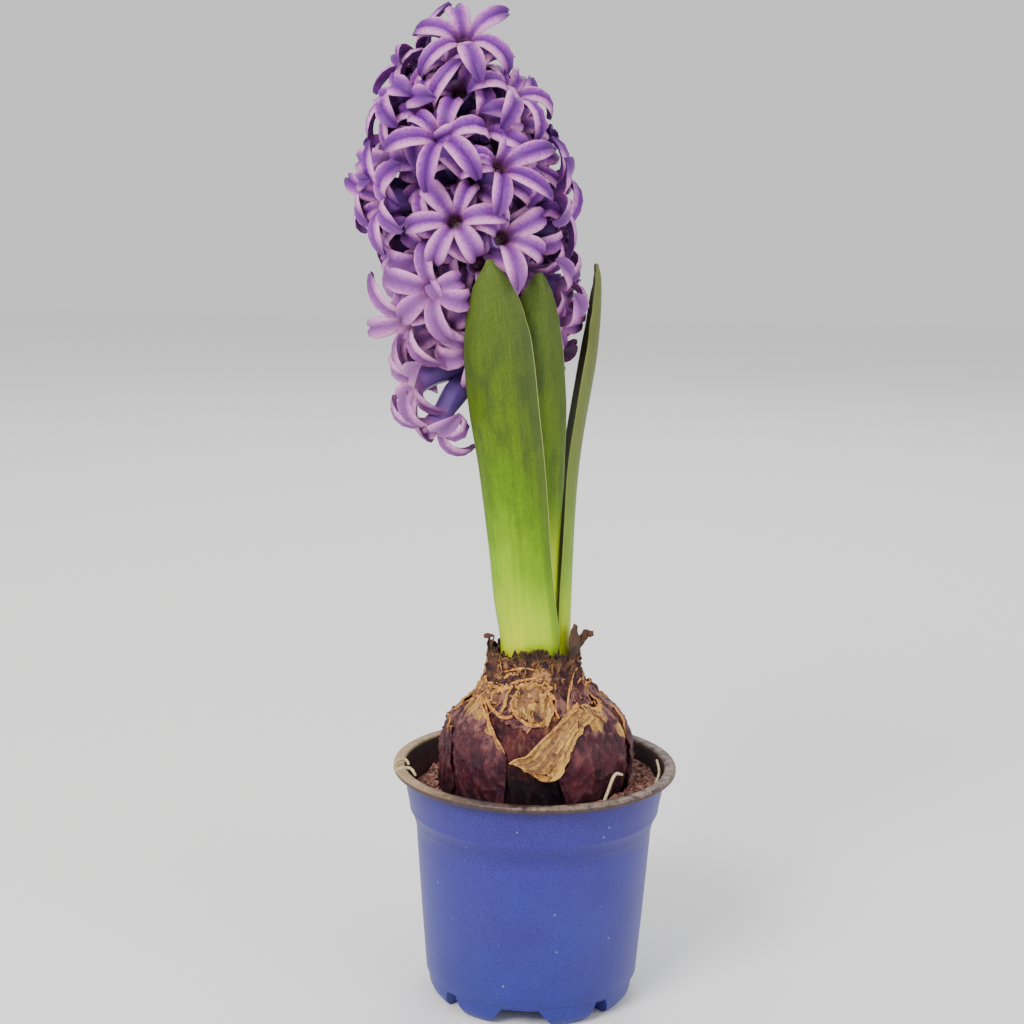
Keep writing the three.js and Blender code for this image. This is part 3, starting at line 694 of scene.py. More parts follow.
neckScales = [
    (41, 0.95, 0.6, 1.5, 0.25, 0, [(-182, 102.6), (-178, 108), (-172, 112.4)],
     [(-132, 103.6), (-134, 108.6), (-140, 113.6)]),
    (42, 1.2, 0.6, 1.6, 0.4, 0, [(-142, 104), (-140, 109), (-136, 112.4)],
     [(-100, 105), (-101, 109.6), (-106, 113.4)]),
    (43, 0.9, 0.5, 1.5, 0.42, 0, [(-112, 104.4), (-109, 110), (-106, 115)],
     [(-70, 104.6), (-70, 110), (-73, 115.8)]),
    (44, 1.35, 0.7, 1.4, 0.55, 0, [(-92, 106), (-88, 110), (-82, 113)],
     [(-56, 106), (-55, 110), (-58, 113.6)]),
    (45, 0.9, 0.5, 1.4, -0.1, 0, [(-72, 105.6), (-68, 110), (-64, 115.2)],
     [(-26, 106), (-22, 110), (-28, 112.4)]),
    (46, 1.3, 0.9, 1.5, 0, 0, [(-44, 104.4), (-40, 108), (-34, 111)],
     [(-8, 104.6), (-4, 108.6), (-10, 112.6)]),
    (47, 1, 0.8, 1.6, 0.3, 0, [(-6, 103), (-2, 108), (2, 112)], [(44, 103), (42, 108), (38, 113)]),
    (48, 1.2, 0.8, 1.6, 0.15, 0, [(36, 103), (40, 108), (44, 113)], [(88, 103), (86, 108), (80, 113)]),
    (49, 0.95, 0.8, 1.6, 0.4, 0, [(78, 103), (82, 108), (86, 113)], [(130, 103), (128, 108), (122, 112)]),
    (50, 1.2, 0.8, 1.6, 0.2, 0, [(122, 103), (126, 108), (130, 113)], [(180, 103), (178, 108), (172, 112)]),
]


def makeScales(name, rows, nodes, paint, grain):
    made = []
    for seed, lift, curl, ragged, tan, core, leftPoints, rightPoints in rows:
        left, right = edgeRows(leftPoints), edgeRows(rightPoints)
        width = max(abs(a[0] - b[0]) for a, b in zip(leftPoints, rightPoints)) * scale["degree"]
        height = abs(leftPoints[-1][1] - leftPoints[0][1]) + scale["spare"]
        margins, relief, tans = [], [], []

        def shape(u, v):
            (azLeft, zLeft), (azRight, zRight) = smoothRows(left, v), smoothRows(right, v)
            azimuth, z = lerp(azLeft, azRight, u), lerp(zLeft, zRight, u)
            side = 2 * u - 1
            torn = rough(azimuth * 0.3, z, seed, 2.2) + 0.7 * rough(azimuth * 0.3, z, seed + 4, 0.9)
            z += ragged * torn * (2 * v - 1) * abs(2 * v - 1)
            frayed = rough(z, seed, azimuth * 0.1, 2.4) + 0.5 * rough(z, seed, 7, 0.9)
            azimuth += 2.6 * ragged * side * abs(side) * frayed
            edge = min(width * (1 - abs(side)), height * (1 - v), height * v + 1.5)
            margins.append(smoothStep(edge, 1.1, 0.1))
            tans.append(tan - core * smoothStep(edge + 2 * torn, 1, 3))
            curled = curl * smoothStep(edge, 2.2, 0) * (0.5 + rough(azimuth * 0.3, z, seed, 3))
            pleat = wrinkles(azimuth, 1.6 * z, seed, 3.4)
            relief.append(pleat)
            return bulbSpot(azimuth, z, lift + curled + pleat)

        columns = max(8, round(width / grain * scale["density"]))
        piece = shapedSheet(f"{name}{seed}", columns, max(8, round(height / grain)), shape)
        mark(piece, margin=margins, tan=tans, relief=relief)
        applyModifier(piece, "SOLIDIFY", thickness=scale["thick"] * mm, offset=-1)
        made.append(piece)
    return finish(joined(made, name), nodes, [paint], 60)


tunicTints = {
    "plum": {
        "deep": tint(48, 10, 28), "pale": tint(76, 28, 38), "margin": tint(206, 144, 68),
        "bare": 0.85, "streak": (34, 1.6, 1), "marginFrom": (87, 94), "dust": 0.5,
    },
    "gold": {
        "deep": tint(84, 44, 38), "pale": tint(120, 80, 50), "margin": tint(214, 160, 76),
        "bare": 0.95, "streak": (9, 1.3, 1), "marginFrom": (60, 66), "dust": 0.4,
    },
}


def tunicPaint(name, values):
    paint = Paint(name)
    where = paint.place()
    z = paint.parts(where)[2]
    margin, tan, relief = (paint.attribute(part) for part in ("margin", "tan", "relief"))
    veins = paint.noise(paint.stretch(where, 1, 1, 0.07), 1.2, 4)
    streak = paint.noise(paint.stretch(paint.sheet(), *values["streak"]), 1, 5, 0.62)
    cloud = paint.noise(where, 0.13, 5, 0.66)
    blotch = paint.noise(paint.stretch(where, 1, 1, 0.5), 0.32, 4, 0.62)
    fine = paint.noise(where, 0.9, 3)
    paint.colour = paint.mix(paint.step(cloud, 0.36, 0.64), values["deep"], values["pale"])
    paint.over(paint.step(blotch, 0.52, 0.68) * 0.55, tint(30, 4, 26))
    paint.over(paint.step(veins, 0.54, 0.72) * 0.35, tint(104, 50, 52))
    # Ridges of the wrinkles lighter: painted highlight
    paint.over(paint.step(relief + (fine - 0.5) * 0.4, 0.5, 1.1) * 0.5, tint(116, 64, 68))
    dusty = paint.step(blotch + (cloud - 0.5) * 0.8, 0.44, 0.62) * paint.step(z + 6 * (cloud - 0.5), 85, 95)
    paint.over(dusty * values["dust"], tint(166, 122, 108))
    bare = paint.step(tan + (streak - 0.5) * 1.2 + (blotch - 0.5) * 0.8, 0.38, 0.72)
    fibres = paint.step(streak + (fine - 0.5) * 0.3, 0.38, 0.62)
    stains = paint.step(cloud + (blotch - 0.5) * 0.6, 0.46, 0.62)
    papery = paint.mix(fibres, tint(118, 82, 38), tint(208, 162, 80))
    papery = paint.mix(stains * 0.75, papery, tint(102, 58, 46))
    # Grooves in the bare paper darker: painted shade
    papery = paint.mix(paint.step(relief, 0.15, -0.25) * 0.75, papery, tint(70, 38, 32))
    paint.over(bare * values["bare"], papery)
    torn = paint.step(margin + (fine - 0.5) * 0.7 + (blotch - 0.5) * 1.1, 0.45, 0.8)
    torn = torn * paint.step(z + 6 * (blotch - 0.5), *values["marginFrom"])
    paint.over(torn * 0.85, values["margin"])
    # Near-black towards the foot: painted shade next to the soil and the rim, over dark old scales
    low = paint.step(z + 8 * (cloud - 0.5), 79, 68)
    paint.over(low * 0.75, tint(22, 4, 17))
    # Grooves of the wrinkles darker: painted shade
    paint.over(paint.step(relief, 0.05, -0.3) * 0.6, tint(22, 4, 14))
    speck = paint.step(paint.cells(where, 0.55), 0.14, 0.05) * paint.step(fine, 0.45, 0.55)
    paint.over(speck * 0.5, tint(150, 110, 112))
    return paint.done(
        veins * 0.9 + cloud + fine * 0.5 + blotch + streak * 0.6, 0.8, 0.45,
        Roughness=0.42 + 0.3 * cloud, Specular_IOR_Level=0.28)


# Dry margins that have come loose: half width, height off the bulb, and points of [azimuth, height]

looseMargins = [
    (0.31, 2.1, [(208, 99.7), (218, 98.2), (227, 96.3), (239, 92.5), (247, 89.2), (251, 87)]),
    (0.34, 1.9, [(-150, 100.5), (-140, 98.9), (-131, 97.6), (-120, 96.4), (-112, 96.6), (-110, 97.6)]),
    (0.31, 2, [(-75, 102.4), (-73, 99.4), (-72, 96.4)]),
    (0.34, 2.3, [(-42, 99.9), (-50, 99.3), (-58, 98.2), (-66, 97), (-72, 96.1)]),
    (0.28, 2.9, [(-50, 98.7), (-62, 97.4), (-74, 95.3), (-82, 93.2), (-88, 91), (-97, 86.8)]),
    (0.34, 2.2, [(-114, 100), (-109, 97.8), (-103, 96.5), (-96, 95.2), (-88, 95.4), (-83, 96.8)]),
    (0.25, 2.6, [(-26, 99.2), (-28, 96.8), (-33, 95.8), (-38, 96.4), (-37, 97.8)]),
    (0.26, 3, [(-170, 92.6), (-165, 90.6), (-161, 88)]),
    (0.26, 2.9, [(-92, 83), (-89, 80.8), (-85, 79.9), (-82, 81), (-84, 82.4), (-87, 82.2)]),
    (0.31, 2.1, [(-172, 100.8), (-152, 101.6), (-135, 101)]),
    (0.26, 2.1, [(-160, 104.6), (-146, 103.2), (-131, 103.8)]),
    (0.25, 2.5, [(-128, 108.6), (-112, 110), (-98, 110.6), (-84, 109.8)]),
    (0.28, 2.3, [(-120, 105.2), (-104, 106.8), (-90, 107.6), (-78, 108.8)]),
    (0.28, 2.6, [(-96, 104), (-88, 105.6), (-76, 104.8)]),
    (0.75, 1.7, [(-140, 101.8), (-126, 103.6), (-110, 105.2), (-96, 105)]),
    (0.7, 1.9, [(-112, 104.4), (-94, 105.4), (-78, 103.6), (-68, 101.4)]),
    (0.6, 2, [(-166, 99.4), (-150, 98.4), (-138, 99.6)]),
    (0.45, 1.9, [(-128, 106.4), (-120, 108.2), (-108, 108.4)]),
    (0.22, 2.5, [(-62, 98.6), (-50, 103.2), (-33, 108.2)]),
    (0.25, 2.4, [(-24, 104), (-14, 102.4), (-4, 103.2)]),
    (0.31, 2.2, [(24, 99), (40, 101), (56, 99.6)]),
    (0.31, 2.2, [(74, 101), (92, 99.2), (108, 101.4)]),
    (0.31, 2.2, [(124, 99.4), (140, 101.6), (158, 100)]),
]
margin = {"segments": 8, "rings": 26, "seed": 71, "thick": 0.16, "sunk": 0.25}


def makeMargins(paint):
    pattern, places = patternBall("marginPattern", margin["segments"], margin["rings"])
    draw = SeededDraw(margin["seed"])
    shapes = []
    for halfWidth, lift, route in looseMargins:
        rows = edgeRows(route)
        seed = 50 * draw()
        points = []
        for u, ring in places:
            t = ring / margin["rings"]
            azimuth, z = smoothRows(rows, t)
            ahead = smoothRows(rows, min(1, t + 0.03))
            before = smoothRows(rows, max(0, t - 0.03))
            radius = smoothRows(bulb["profile"], min(z, bulb["neckTop"]))[0] + lift
            rise = math.atan2(ahead[1] - before[1], math.radians(ahead[0] - before[0]) * radius)
            across = math.cos(2 * math.pi * u) * halfWidth * (0.25 + math.sin(math.pi * t) ** 0.5)
            across *= 1 + 0.9 * rough(9 * t, seed, 0, 0.8)
            off = math.sin(2 * math.pi * u) * margin["thick"]
            off += 0.45 * rough(7 * t, seed, 4, 0.9)
            off -= margin["sunk"]
            azimuth += math.degrees(-math.sin(rise) * across / radius)
            where = bulbSpot(azimuth, z + math.cos(rise) * across, lift + off) / mm
            points.append((where.x - potMiddle[0] / mm, where.y - potMiddle[1] / mm, where.z))
        shapes.append(toFrame(points))
    piece = copiesOf(pattern, shapes, "looseMargins", [draw() for each in shapes])
    editAll(piece, faceOut)
    return finish(piece, [], [paint], 60)


def marginPaint():
    paint = Paint("dryMargin")
    where = paint.place()
    fibre = paint.noise(where, 1.1, 4)
    cloud = paint.noise(where, 0.35, 3)
    paint.colour = paint.mix(paint.step(fibre, 0.34, 0.66), tint(138, 76, 30), tint(220, 152, 62))
    paint.over(paint.step(cloud, 0.48, 0.66) * 0.8, tint(84, 42, 28))
    paint.over(paint.attribute("tone") * 0.15, tint(232, 186, 112))
    return paint.done(fibre, 0.6, 0.2, Roughness=0.6)


# Ragged collar of old scales round the neck

sheath = {
    "low": 102.4, "thick": 0.5, "segments": 240, "rings": 18,
    # each layer: height off the bulb, top, how ragged, seed; each shred: azimuth, width, height, lean
    "layers": [(1.0, 111.6, 1.6, 3), (0.6, 113.6, 1.6, 21)],
    "shreds": [(-170, 7, 4, 1.2)],
    "paperLeft": [(10.1, 105), (9.8, 110.6), (9.9, 115.4), (10.2, 119.4), (11.2, 123.4)],
    "paperRight": [(13.4, 105.6), (12.7, 110.4), (13, 113.2), (14.6, 115.6), (17, 119.4)],
    "paperRadius": 14.3,
    "knob": (16.9, -2.6, 119),
    "bud": [
        (-13.6, -4.4, 111, 0.5), (-14.2, -4.8, 115.4, 0.35), (-13.4, -5, 118, 0.3), (-15.2, -5, 118.4, 0.8),
        (-16.8, -5, 118, 0.75),
    ],
}


def makeSheath(paint):
    made = []
    for offset, level, ragged, seed in sheath["layers"]:

        def shape(u, v):
            azimuth = 360 * u - 180
            torn = 1.4 * rougher(azimuth, seed * 7, 0, 16) + rough(azimuth, seed, 0, 4.5)
            top = level + ragged * (torn + 0.6 * rough(azimuth, seed, 5, 1.7))
            flare = 0.5 * rougher(azimuth, seed, 3, 14)
            for middle, width, height, out in sheath["shreds"]:
                part = math.exp(-((azimuth - middle) / width) ** 2)
                top += height * part * (1 + 0.35 * rough(azimuth, 0, seed, 3))
                flare += out * part
            z = lerp(sheath["low"] - 1, top, v)
            crumple = 0.8 * wrinkles(azimuth, 1.4 * z, seed, 3)
            return bulbSpot(azimuth, z, offset + crumple + flare * smoothStep(v, 0.5, 1))

        piece = shapedSheet(f"sheathLayer{seed}", sheath["segments"], sheath["rings"], shape)
        editAll(piece, weld)
        applyModifier(piece, "SOLIDIFY", thickness=sheath["thick"] * mm, offset=-1)
        made.append(piece)
    made.append(makeStandingPaper())
    made.append(strand("driedBud", sheath["bud"], 10, 24))
    return finish(joined(made, "neckSheath"), ["neck_sheath"], [paint], 60)


# The torn piece that stands up at the right of the neck: a spike, a notch and a curled knob
def makeStandingPaper():
    left, right = edgeRows(sheath["paperLeft"]), edgeRows(sheath["paperRight"])

    def shape(u, v):
        (xLeft, zLeft), (xRight, zRight) = smoothRows(left, v), smoothRows(right, v)
        x, z = lerp(xLeft, xRight, u), lerp(zLeft, zRight, u)
        notch = math.exp(-((u - 0.4) / 0.2) ** 2) * 3.4 + 0.9 * rough(9 * u, 3, 0, 1)
        z -= notch * smoothStep(v, 0.55, 1)
        x += 0.5 * rough(u * 2, z, 6, 1.6) + 0.25 * rough(u * 2, z, 2, 0.7)
        reach = sheath["paperRadius"] ** 2 - (x + 0.8) ** 2
        y = -math.sqrt(max(3, reach)) + 1.2 * rough(x, 4, z, 2.6) - 0.6 * math.sin(math.pi * u)
        return spot(x, y, z)

    piece = shapedSheet("standingPaper", 16, 40, shape)
    applyModifier(piece, "SOLIDIFY", thickness=sheath["thick"] * mm, offset=0)

    def knobShape(u, v):
        way = np.array([*onBall(u, v), -math.cos(math.pi * v)])
        return spot(*(np.array(sheath["knob"]) + way * (0.9 + 0.5 * rough(3 * u, 3 * v, 2, 0.8))))

    return joined([piece, shapedBall("paperKnob", 12, 8, knobShape)], "standingPaper")


def sheathPaint():
    paint = Paint("drySheath")
    where = paint.place()
    z = paint.parts(where)[2]
    fibre = paint.noise(paint.stretch(where, 1, 1, 0.5), 1.2, 4)
    cloud = paint.noise(where, 0.4, 4, 0.65)
    paint.colour = paint.mix(paint.step(cloud, 0.38, 0.62), tint(38, 18, 20), tint(92, 54, 34))
    paint.over(paint.step(fibre, 0.58, 0.7) * 0.45, tint(146, 100, 56))
    paint.over(paint.step(z + 3 * (cloud - 0.5), 111, 114.4) * 0.7, tint(40, 30, 16))
    paint.over(paint.step(z, 114.5, 117) * 0.5, tint(100, 66, 50))
    return paint.done(fibre + cloud, 0.8, 0.5, Roughness=0.7, Specular_IOR_Level=0.3)


def neckScalePaint():
    paint = Paint("neckScale")
    where = paint.place()
    x, y, z = paint.parts(where)
    margin, tan = paint.attribute("margin"), paint.attribute("tan")
    fibre = paint.noise(paint.stretch(where, 1, 1, 1.8), 0.9, 4)
    cloud = paint.noise(where, 0.3, 4, 0.65)
    paint.colour = paint.mix(paint.step(cloud, 0.38, 0.62), tint(34, 14, 20), tint(94, 52, 40))
    paint.over(paint.step(tan + (cloud - 0.5) * 2.2 + (fibre - 0.5), 0.35, 0.8), tint(184, 132, 78))
    # Grooves of the wrinkles darker: painted shade
    paint.over(paint.step(paint.attribute("relief"), 0.1, -0.3) * 0.7, tint(30, 12, 14))
    paint.over(paint.step(fibre, 0.6, 0.72) * 0.6, tint(44, 18, 20))
    torn = paint.step(margin + (fibre - 0.5) * 1.2, 0.5, 0.9)
    paint.over(torn * 0.75, tint(196, 144, 74))
    paint.over(paint.step(z + 4 * (cloud - 0.5), 110.4, 114) * 0.85, tint(42, 30, 18))
    shade = paint.step(x + 8 * (cloud - 0.5), 8, 15) * paint.step(y, 2, -4)
    paint.over(shade * 0.6, tint(44, 20, 26))
    return paint.done(fibre + cloud, 0.8, 0.4, Roughness=0.62, Specular_IOR_Level=0.3)


# Leaves: rows are [height, middle x, middle y, facing, bend radius, half width]

leafRing = {"outer": 10.4, "inner": 7.4}
blade = {"segments": 56, "rings": 90, "keel": 0.16, "ridge": 0.03, "wave": 0.5}


def leafFoot(ring, facing, half):
    radius = leafRing[ring]
    x, y = onRing(radius, facing)
    x += bulb["x"]
    return [(z, x, y, facing, radius, half) for z in (bulb["cupFloor"] + 0.3, bulb["neckTop"])]


leaves = [
    {"name": "leafFrontLeft", "node": "leaf_1", "thick": 1.8, "nub": 1.5, "grey": 0.0,
     "rows": leafFoot("outer", -111, 12) + [
        (118, -3.8, -10.6, -106, 11, 11.6), (131, -4.9, -12.2, -100, 12.5, 10.9),
        (150, -6.7, -15, -98, 14, 10.8), (170, -8.7, -18.4, -98, 16, 11),
        (190, -11.5, -22, -98, 17, 11.5), (205, -13.2, -25, -98, 16, 11.6),
        (216, -14, -26.9, -98, 13, 10.4), (225, -14.7, -28.2, -98, 10, 7.8),
        (231, -15.1, -28.6, -98, 7, 4.2), (234.4, -15.7, -28, -98, 5, 1.4)]},
    # A value below zero in place of grey lightens this leaf's foot: painted light
    {"name": "leafFrontRight", "node": "leaf_2", "thick": 1.7, "nub": 0.6, "grey": -0.6,
     "rows": leafFoot("inner", -50, 6.6) + [
        (118, 3.2, -6.4, -55, 7.8, 7.4), (131, 1.6, -8.2, -65, 9, 8.2), (150, 0, -10.9, -72, 11, 9),
        (170, -0.8, -13.6, -78, 13, 9.8), (190, -1.2, -16.1, -80, 14, 10.7),
        (202, -1.7, -17.6, -80, 14, 10.2), (212, -1.9, -18.7, -80, 12, 9.1),
        (220, -1.7, -19.4, -80, 9.5, 6.9), (227, -1.5, -19.6, -80, 7, 4),
        (231.4, -1.3, -19.2, -80, 4, 1.3)]},
    {"name": "leafRight", "node": "leaf_3", "thick": 1.8, "nub": 0.6, "grey": 0.65,
     "rows": leafFoot("outer", -2, 6.9) + [
        (118, 9.4, 0, 0, 10.4, 7.9), (131, 9.5, 0.3, 2, 10.4, 8), (150, 9.9, 0.8, 4, 10.5, 8.2),
        (167, 10.7, 1.2, 5, 11, 8.8), (180, 12, 1.6, 5, 11, 9.2), (192, 13.8, 2, 5, 11, 9.3),
        (204, 15.6, 2.3, 5, 10.5, 8.9), (215, 16.5, 2.5, 5, 9, 7.4), (224, 16.7, 2.6, 5, 7, 5.4),
        (230, 16.4, 2.5, 5, 5.5, 3), (233.4, 15.9, 2.3, 5, 4, 1.1)]},
    {"name": "leafBack", "node": "leaf_4", "thick": 1.7, "nub": 0.6, "grey": 0.0,
     "rows": leafFoot("outer", 100, 8.6) + [
        (118, -2.4, 10.8, 98, 10.6, 8.6), (131, -1.2, 13, 92, 11, 8.8), (145, 0.5, 16, 86, 12, 8.8),
        (158, 2.2, 19, 84, 12, 8.2), (169, 3.6, 21.6, 84, 11, 6.6), (178, 4.4, 23, 84, 8, 4.4),
        (184.6, 4.8, 23.4, 84, 5, 1.6)]},
]


def makeLeaf(leaf, paint):
    rows = leaf["rows"]
    low, high = rows[0][0], rows[-1][0] + leaf["nub"]
    edges = []
    insides = []

    def shape(u, v):
        z = lerp(low, high, 1 - (1 - v) ** 1.25)
        x, y, facing, bend, half = smoothRows(rows, z)
        s = math.cos(2 * math.pi * u)
        outer = 1 if u < 0.5 else -1
        if v in (0, 1):
            s = 0
        tip = smoothStep(v, 0.93, 1)
        hollow = math.sqrt(max(0, 1 - s * s)) ** 0.55
        thick = leaf["thick"] / 2 * (1 - 0.5 * s * s) * hollow * (1 - 0.45 * tip)
        if v in (0, 1):
            thick = 0
        keel = blade["keel"] * math.exp(-(s / 0.09) ** 2) * outer
        ridge = blade["ridge"] * math.cos(9 * math.pi * s) * hollow
        wave = blade["wave"] * rough(z * 0.045, s * 0.8, half, 1) * abs(s)
        edges.append(s)
        insides.append(0.0 if outer > 0 else 1.0)
        width = half * (1 - 0.85 * smoothStep(v, 0.985, 1))
        angle = s * width / bend
        r = bend + outer * (thick + ridge) + keel * hollow + wave
        out = onRing(1, facing)
        along = r * math.cos(angle) - bend
        side = r * math.sin(angle)
        return spot(x + out[0] * along - out[1] * side, y + out[1] * along + out[0] * side, z)

    piece = shapedBall(leaf["name"], blade["segments"], blade["rings"], shape)
    mark(piece, edge=edges, within=insides, grey=[leaf["grey"]] * len(edges))
    return finish(piece, [leaf["node"]], [paint], 60)


def leafPaint():
    paint = Paint("leaf")
    where = paint.place()
    z = paint.parts(where)[2]
    side, within, grey = (paint.attribute(part) for part in ("edge", "within", "grey"))
    edge = side.maths("ABSOLUTE", side)
    streaks = paint.noise(paint.stretch(paint.sheet(), 22, 0.9, 1), 1.4, 3)
    fine = paint.noise(paint.stretch(paint.sheet(), 110, 5, 1), 1.8, 2)
    mottle = paint.noise(paint.stretch(where, 1, 1, 0.4), 0.12, 4, 0.6)
    speckle = paint.noise(where, 1.5, 3, 0.6)
    height = (z + (mottle - 0.5) * 46 + (streaks - 0.5) * 24 + edge * 10 + side * 9 - 111) / 120
    paint.colour = paint.node("ShaderNodeValToRGB", {"stops": [
        (0.0, tint(196, 206, 4)), (0.14, tint(160, 192, 0)), (0.3, tint(120, 164, 0)),
        (0.46, tint(86, 126, 2)), (0.62, tint(84, 110, 14)), (0.82, tint(74, 94, 26)),
        (1.0, tint(80, 96, 36)),
    ]}, {0: height})
    paint.over(paint.step(speckle, 0.46, 0.62) * paint.step(z, 120, 180) * 0.32, tint(42, 60, 12))
    paint.over(paint.step(fine, 0.5, 0.68) * 0.1, tint(150, 172, 50))
    dark = paint.step(mottle + (streaks - 0.5) * 0.35, 0.44, 0.64) * paint.step(z, 146, 186)
    paint.over(dark * 0.5, tint(46, 60, 30))
    shade = paint.step(side + (streaks - 0.5) * 0.9, -0.05, 0.9) * paint.step(z, 138, 186)
    paint.over(shade * 0.3, tint(58, 72, 38))
    paint.over(paint.step(edge + (streaks - 0.5) * 0.5, 0.6, 1.05) * 0.4, tint(84, 98, 50))
    # The per-leaf value read here: above zero greys the leaf above its foot; below zero lightens the foot
    # as painted light where it lies in shade behind another leaf
    paint.over(grey * paint.step(z + (mottle - 0.5) * 30, 118, 168) * 0.9, tint(112, 116, 66))
    paint.over(grey * -1.3 * paint.step(z, 165, 124), tint(214, 230, 20))
    # Inner faces darker low down: painted shade between the leaves
    paint.over(within * paint.step(z, 118, 150) * 0.8, tint(38, 48, 18))
    paint.over(paint.step(side, 0.95, 0.985) * 0.75, tint(168, 180, 98))
    paint.over(paint.step(side, -0.97, -0.995) * 0.4, tint(150, 160, 80))
    return paint.done(
        streaks + speckle * 0.5 + fine * 0.3, 0.35, 0.12,
        Roughness=0.4 + 0.2 * mottle, Specular_IOR_Level=0.16)


# Stem and the stalk inside the flower spike

stem = {
    "low": 5.2, "high": 4.2, "cut": 186, "gap": 0.3, "spikeLow": 4.2, "spikeHigh": 2.6, "spikeTop": 287,
    "segments": 32, "rings": 48,
    "line": [
        (103.3, -0.8), (113, -1), (125, -3.2), (150, -8.4), (175, -14.4), (195, -18.8), (212, -21),
        (240, -22.4), (258, -24), (272, -25), (300, -25),
    ],
}


def stemAt(z):
    return np.array([readRows(stem["line"], z)[0], 0.0, z])


def makeStalk(name, low, high, lowRadius, highRadius, nodes, paint):
    rings = stem["rings"]

    def shape(u, v):
        z = lerp(low, high, min(1, max(0, (v * rings - 1) / (rings - 2))))
        angle = 2 * math.pi * u
        flat = 0 if v in (0, 1) else 1
        radius = lerp(lowRadius, highRadius, v) * (1 + 0.03 * math.cos(6 * angle)) * flat
        x = smoothRows(stem["line"], z)[0]
        return spot(x + radius * math.cos(angle), radius * math.sin(angle), z)

    return finish(shapedBall(name, stem["segments"], rings, shape), nodes, [paint], 60)


def stalkPaint():
    paint = Paint("stalk")
    where = paint.place()
    z = paint.parts(where)[2]
    streaks = paint.noise(paint.stretch(where, 1, 1, 0.07), 1.2, 3)
    paint.colour = paint.mix(streaks, tint(42, 16, 30), tint(78, 44, 54))
    paint.over(paint.step(z, 150, 108) * 0.7, tint(96, 116, 30))
    return paint.done(streaks, 0.4, 0.2, Roughness=0.45)


# Florets: [azimuth, height of the throat, tilt, spin, reach from the stem, roll of the tepals]

tepal = {
    "length": 16.5, "lengthVaries": 0.12, "rise": 60, "turn": 140, "turnVaries": 0.28,
    "room": 2.8, "leastRoom": 1, "gain": 0.2, "leafRoom": 1.3, "near": 64, "seed": 17,
}
tepalMarks = [(0.26, 3), (0.56, 3.6), (0.82, 2.8), (1, 0)]  # how far along, and half width
# ways to try: times the turn, degrees aside, times the length
tepalWays = [
    (1, 0, 1), (1.3, 0, 1), (0.75, 0, 1), (1, 14, 1), (1, -14, 1), (1.6, 0, 1), (1.4, 14, 1),
    (1.4, -14, 1), (0.7, 14, 0.9), (0.7, -14, 0.9), (1.3, 0, 0.8), (1.8, 0, 0.85), (0.6, 0, 0.8),
    (1.8, 18, 0.8), (1.8, -18, 0.8),
]
tube = {"throat": 3.7, "rootPart": 0.86, "mouthRoom": 3, "ahead": 2}
viewerFlorets = [
    (-88, 298, 42, 100, 10), (-34, 283, 42, 100, 17), (-165, 283, 30, 80, 20),
    (165, 293, 44, 100, 13.5), (-102, 270, 36, 80, 25), (-65, 262, 28, 78, 26), (-22, 264, 8, 70, 22),
    (-153, 264, 12, 115, 24), (176, 272, 18, 80, 21), (-97, 246.5, 20, 68, 26),
    (-66, 242, 14, 40, 26), (-150, 252, 0, 95, 27.5), (-177, 256, 6, 80, 28),
    (-168, 238, -6, 95, 23), (-114, 226.5, -6, 100, 26), (-142, 216.5, -18, 65, 24),
    (-152, 198, -20, 90, 21), (-136, 185.5, -52, 30, 21, 1.15),
    (-6, 254, 5, 85, 26.5), (-12, 243, -4, 60, 27), (-10, 227, -12, 95, 26.5), (-12, 215, -26, 70, 27),
    (-38, 232, -10, 90, 20), (-85, 209, -20, 80, 15), (180, 220, -16, 60, 20),
]
# Inner ones that fill the gaps between the others
innerFlorets = [
    (-127, 257.5, 6, 30, 20), (-82, 257, 10, 10, 19), (-129, 237, 0, 20, 20), (-81, 234, -2, 30, 20),
    (-122, 277, 22, 40, 19), (-70, 274, 18, 20, 18), (-30, 251, 2, 35, 21), (-24, 275, 16, 45, 18),
    (-178, 240, 0, 30, 20), (-150, 280, 26, 10, 17),
    (-105, 259, 14, 0, 15), (-58, 251, 6, 20, 15), (-112, 241, 4, 40, 15), (-142, 246, 4, 15, 16),
    (-45, 268, 14, 30, 14), (-95, 284, 30, 10, 12), (-140, 270, 16, 30, 15), (-120, 214, -12, 20, 15),
    (-160, 226, -6, 40, 17), (-100, 222, -8, 10, 14), (-60, 228, -4, 20, 14), (-130, 290, 34, 20, 10),
]
# On the far side: levels up the stem, then a few above them and one at the top
farSide = {
    "levels": 4, "lowest": 207, "apart": 20, "tilts": (-26, 14),
    "each": 3, "first": 32, "turn": 48, "shift": 10, "reach": 24,
    "crown": (28, 82, 132), "crownAt": (281, 36, 18), "top": (90, 290, 62, 30, 10),
}


def farFlorets(draw):
    rows = []
    for level in range(farSide["levels"]):
        height = farSide["lowest"] + farSide["apart"] * level
        tilt = lerp(*farSide["tilts"], level / (farSide["levels"] - 1))
        for i in range(farSide["each"]):
            azimuth = farSide["first"] + farSide["turn"] * i + farSide["shift"] * (level % 2)
            azimuth += 8 * (draw() - 0.5)
            rows.append((
                azimuth, height + 4 * (draw() - 0.5), tilt, 60 * draw(), farSide["reach"] + 2 * draw()))
    height, tilt, reach = farSide["crownAt"]
    for azimuth in farSide["crown"]:
        rows.append((azimuth, height, tilt, 60 * draw(), reach))
    return rows + [farSide["top"]]


def spoke(first, second, angle, length):
    return length * (math.cos(angle) * first + math.sin(angle) * second)


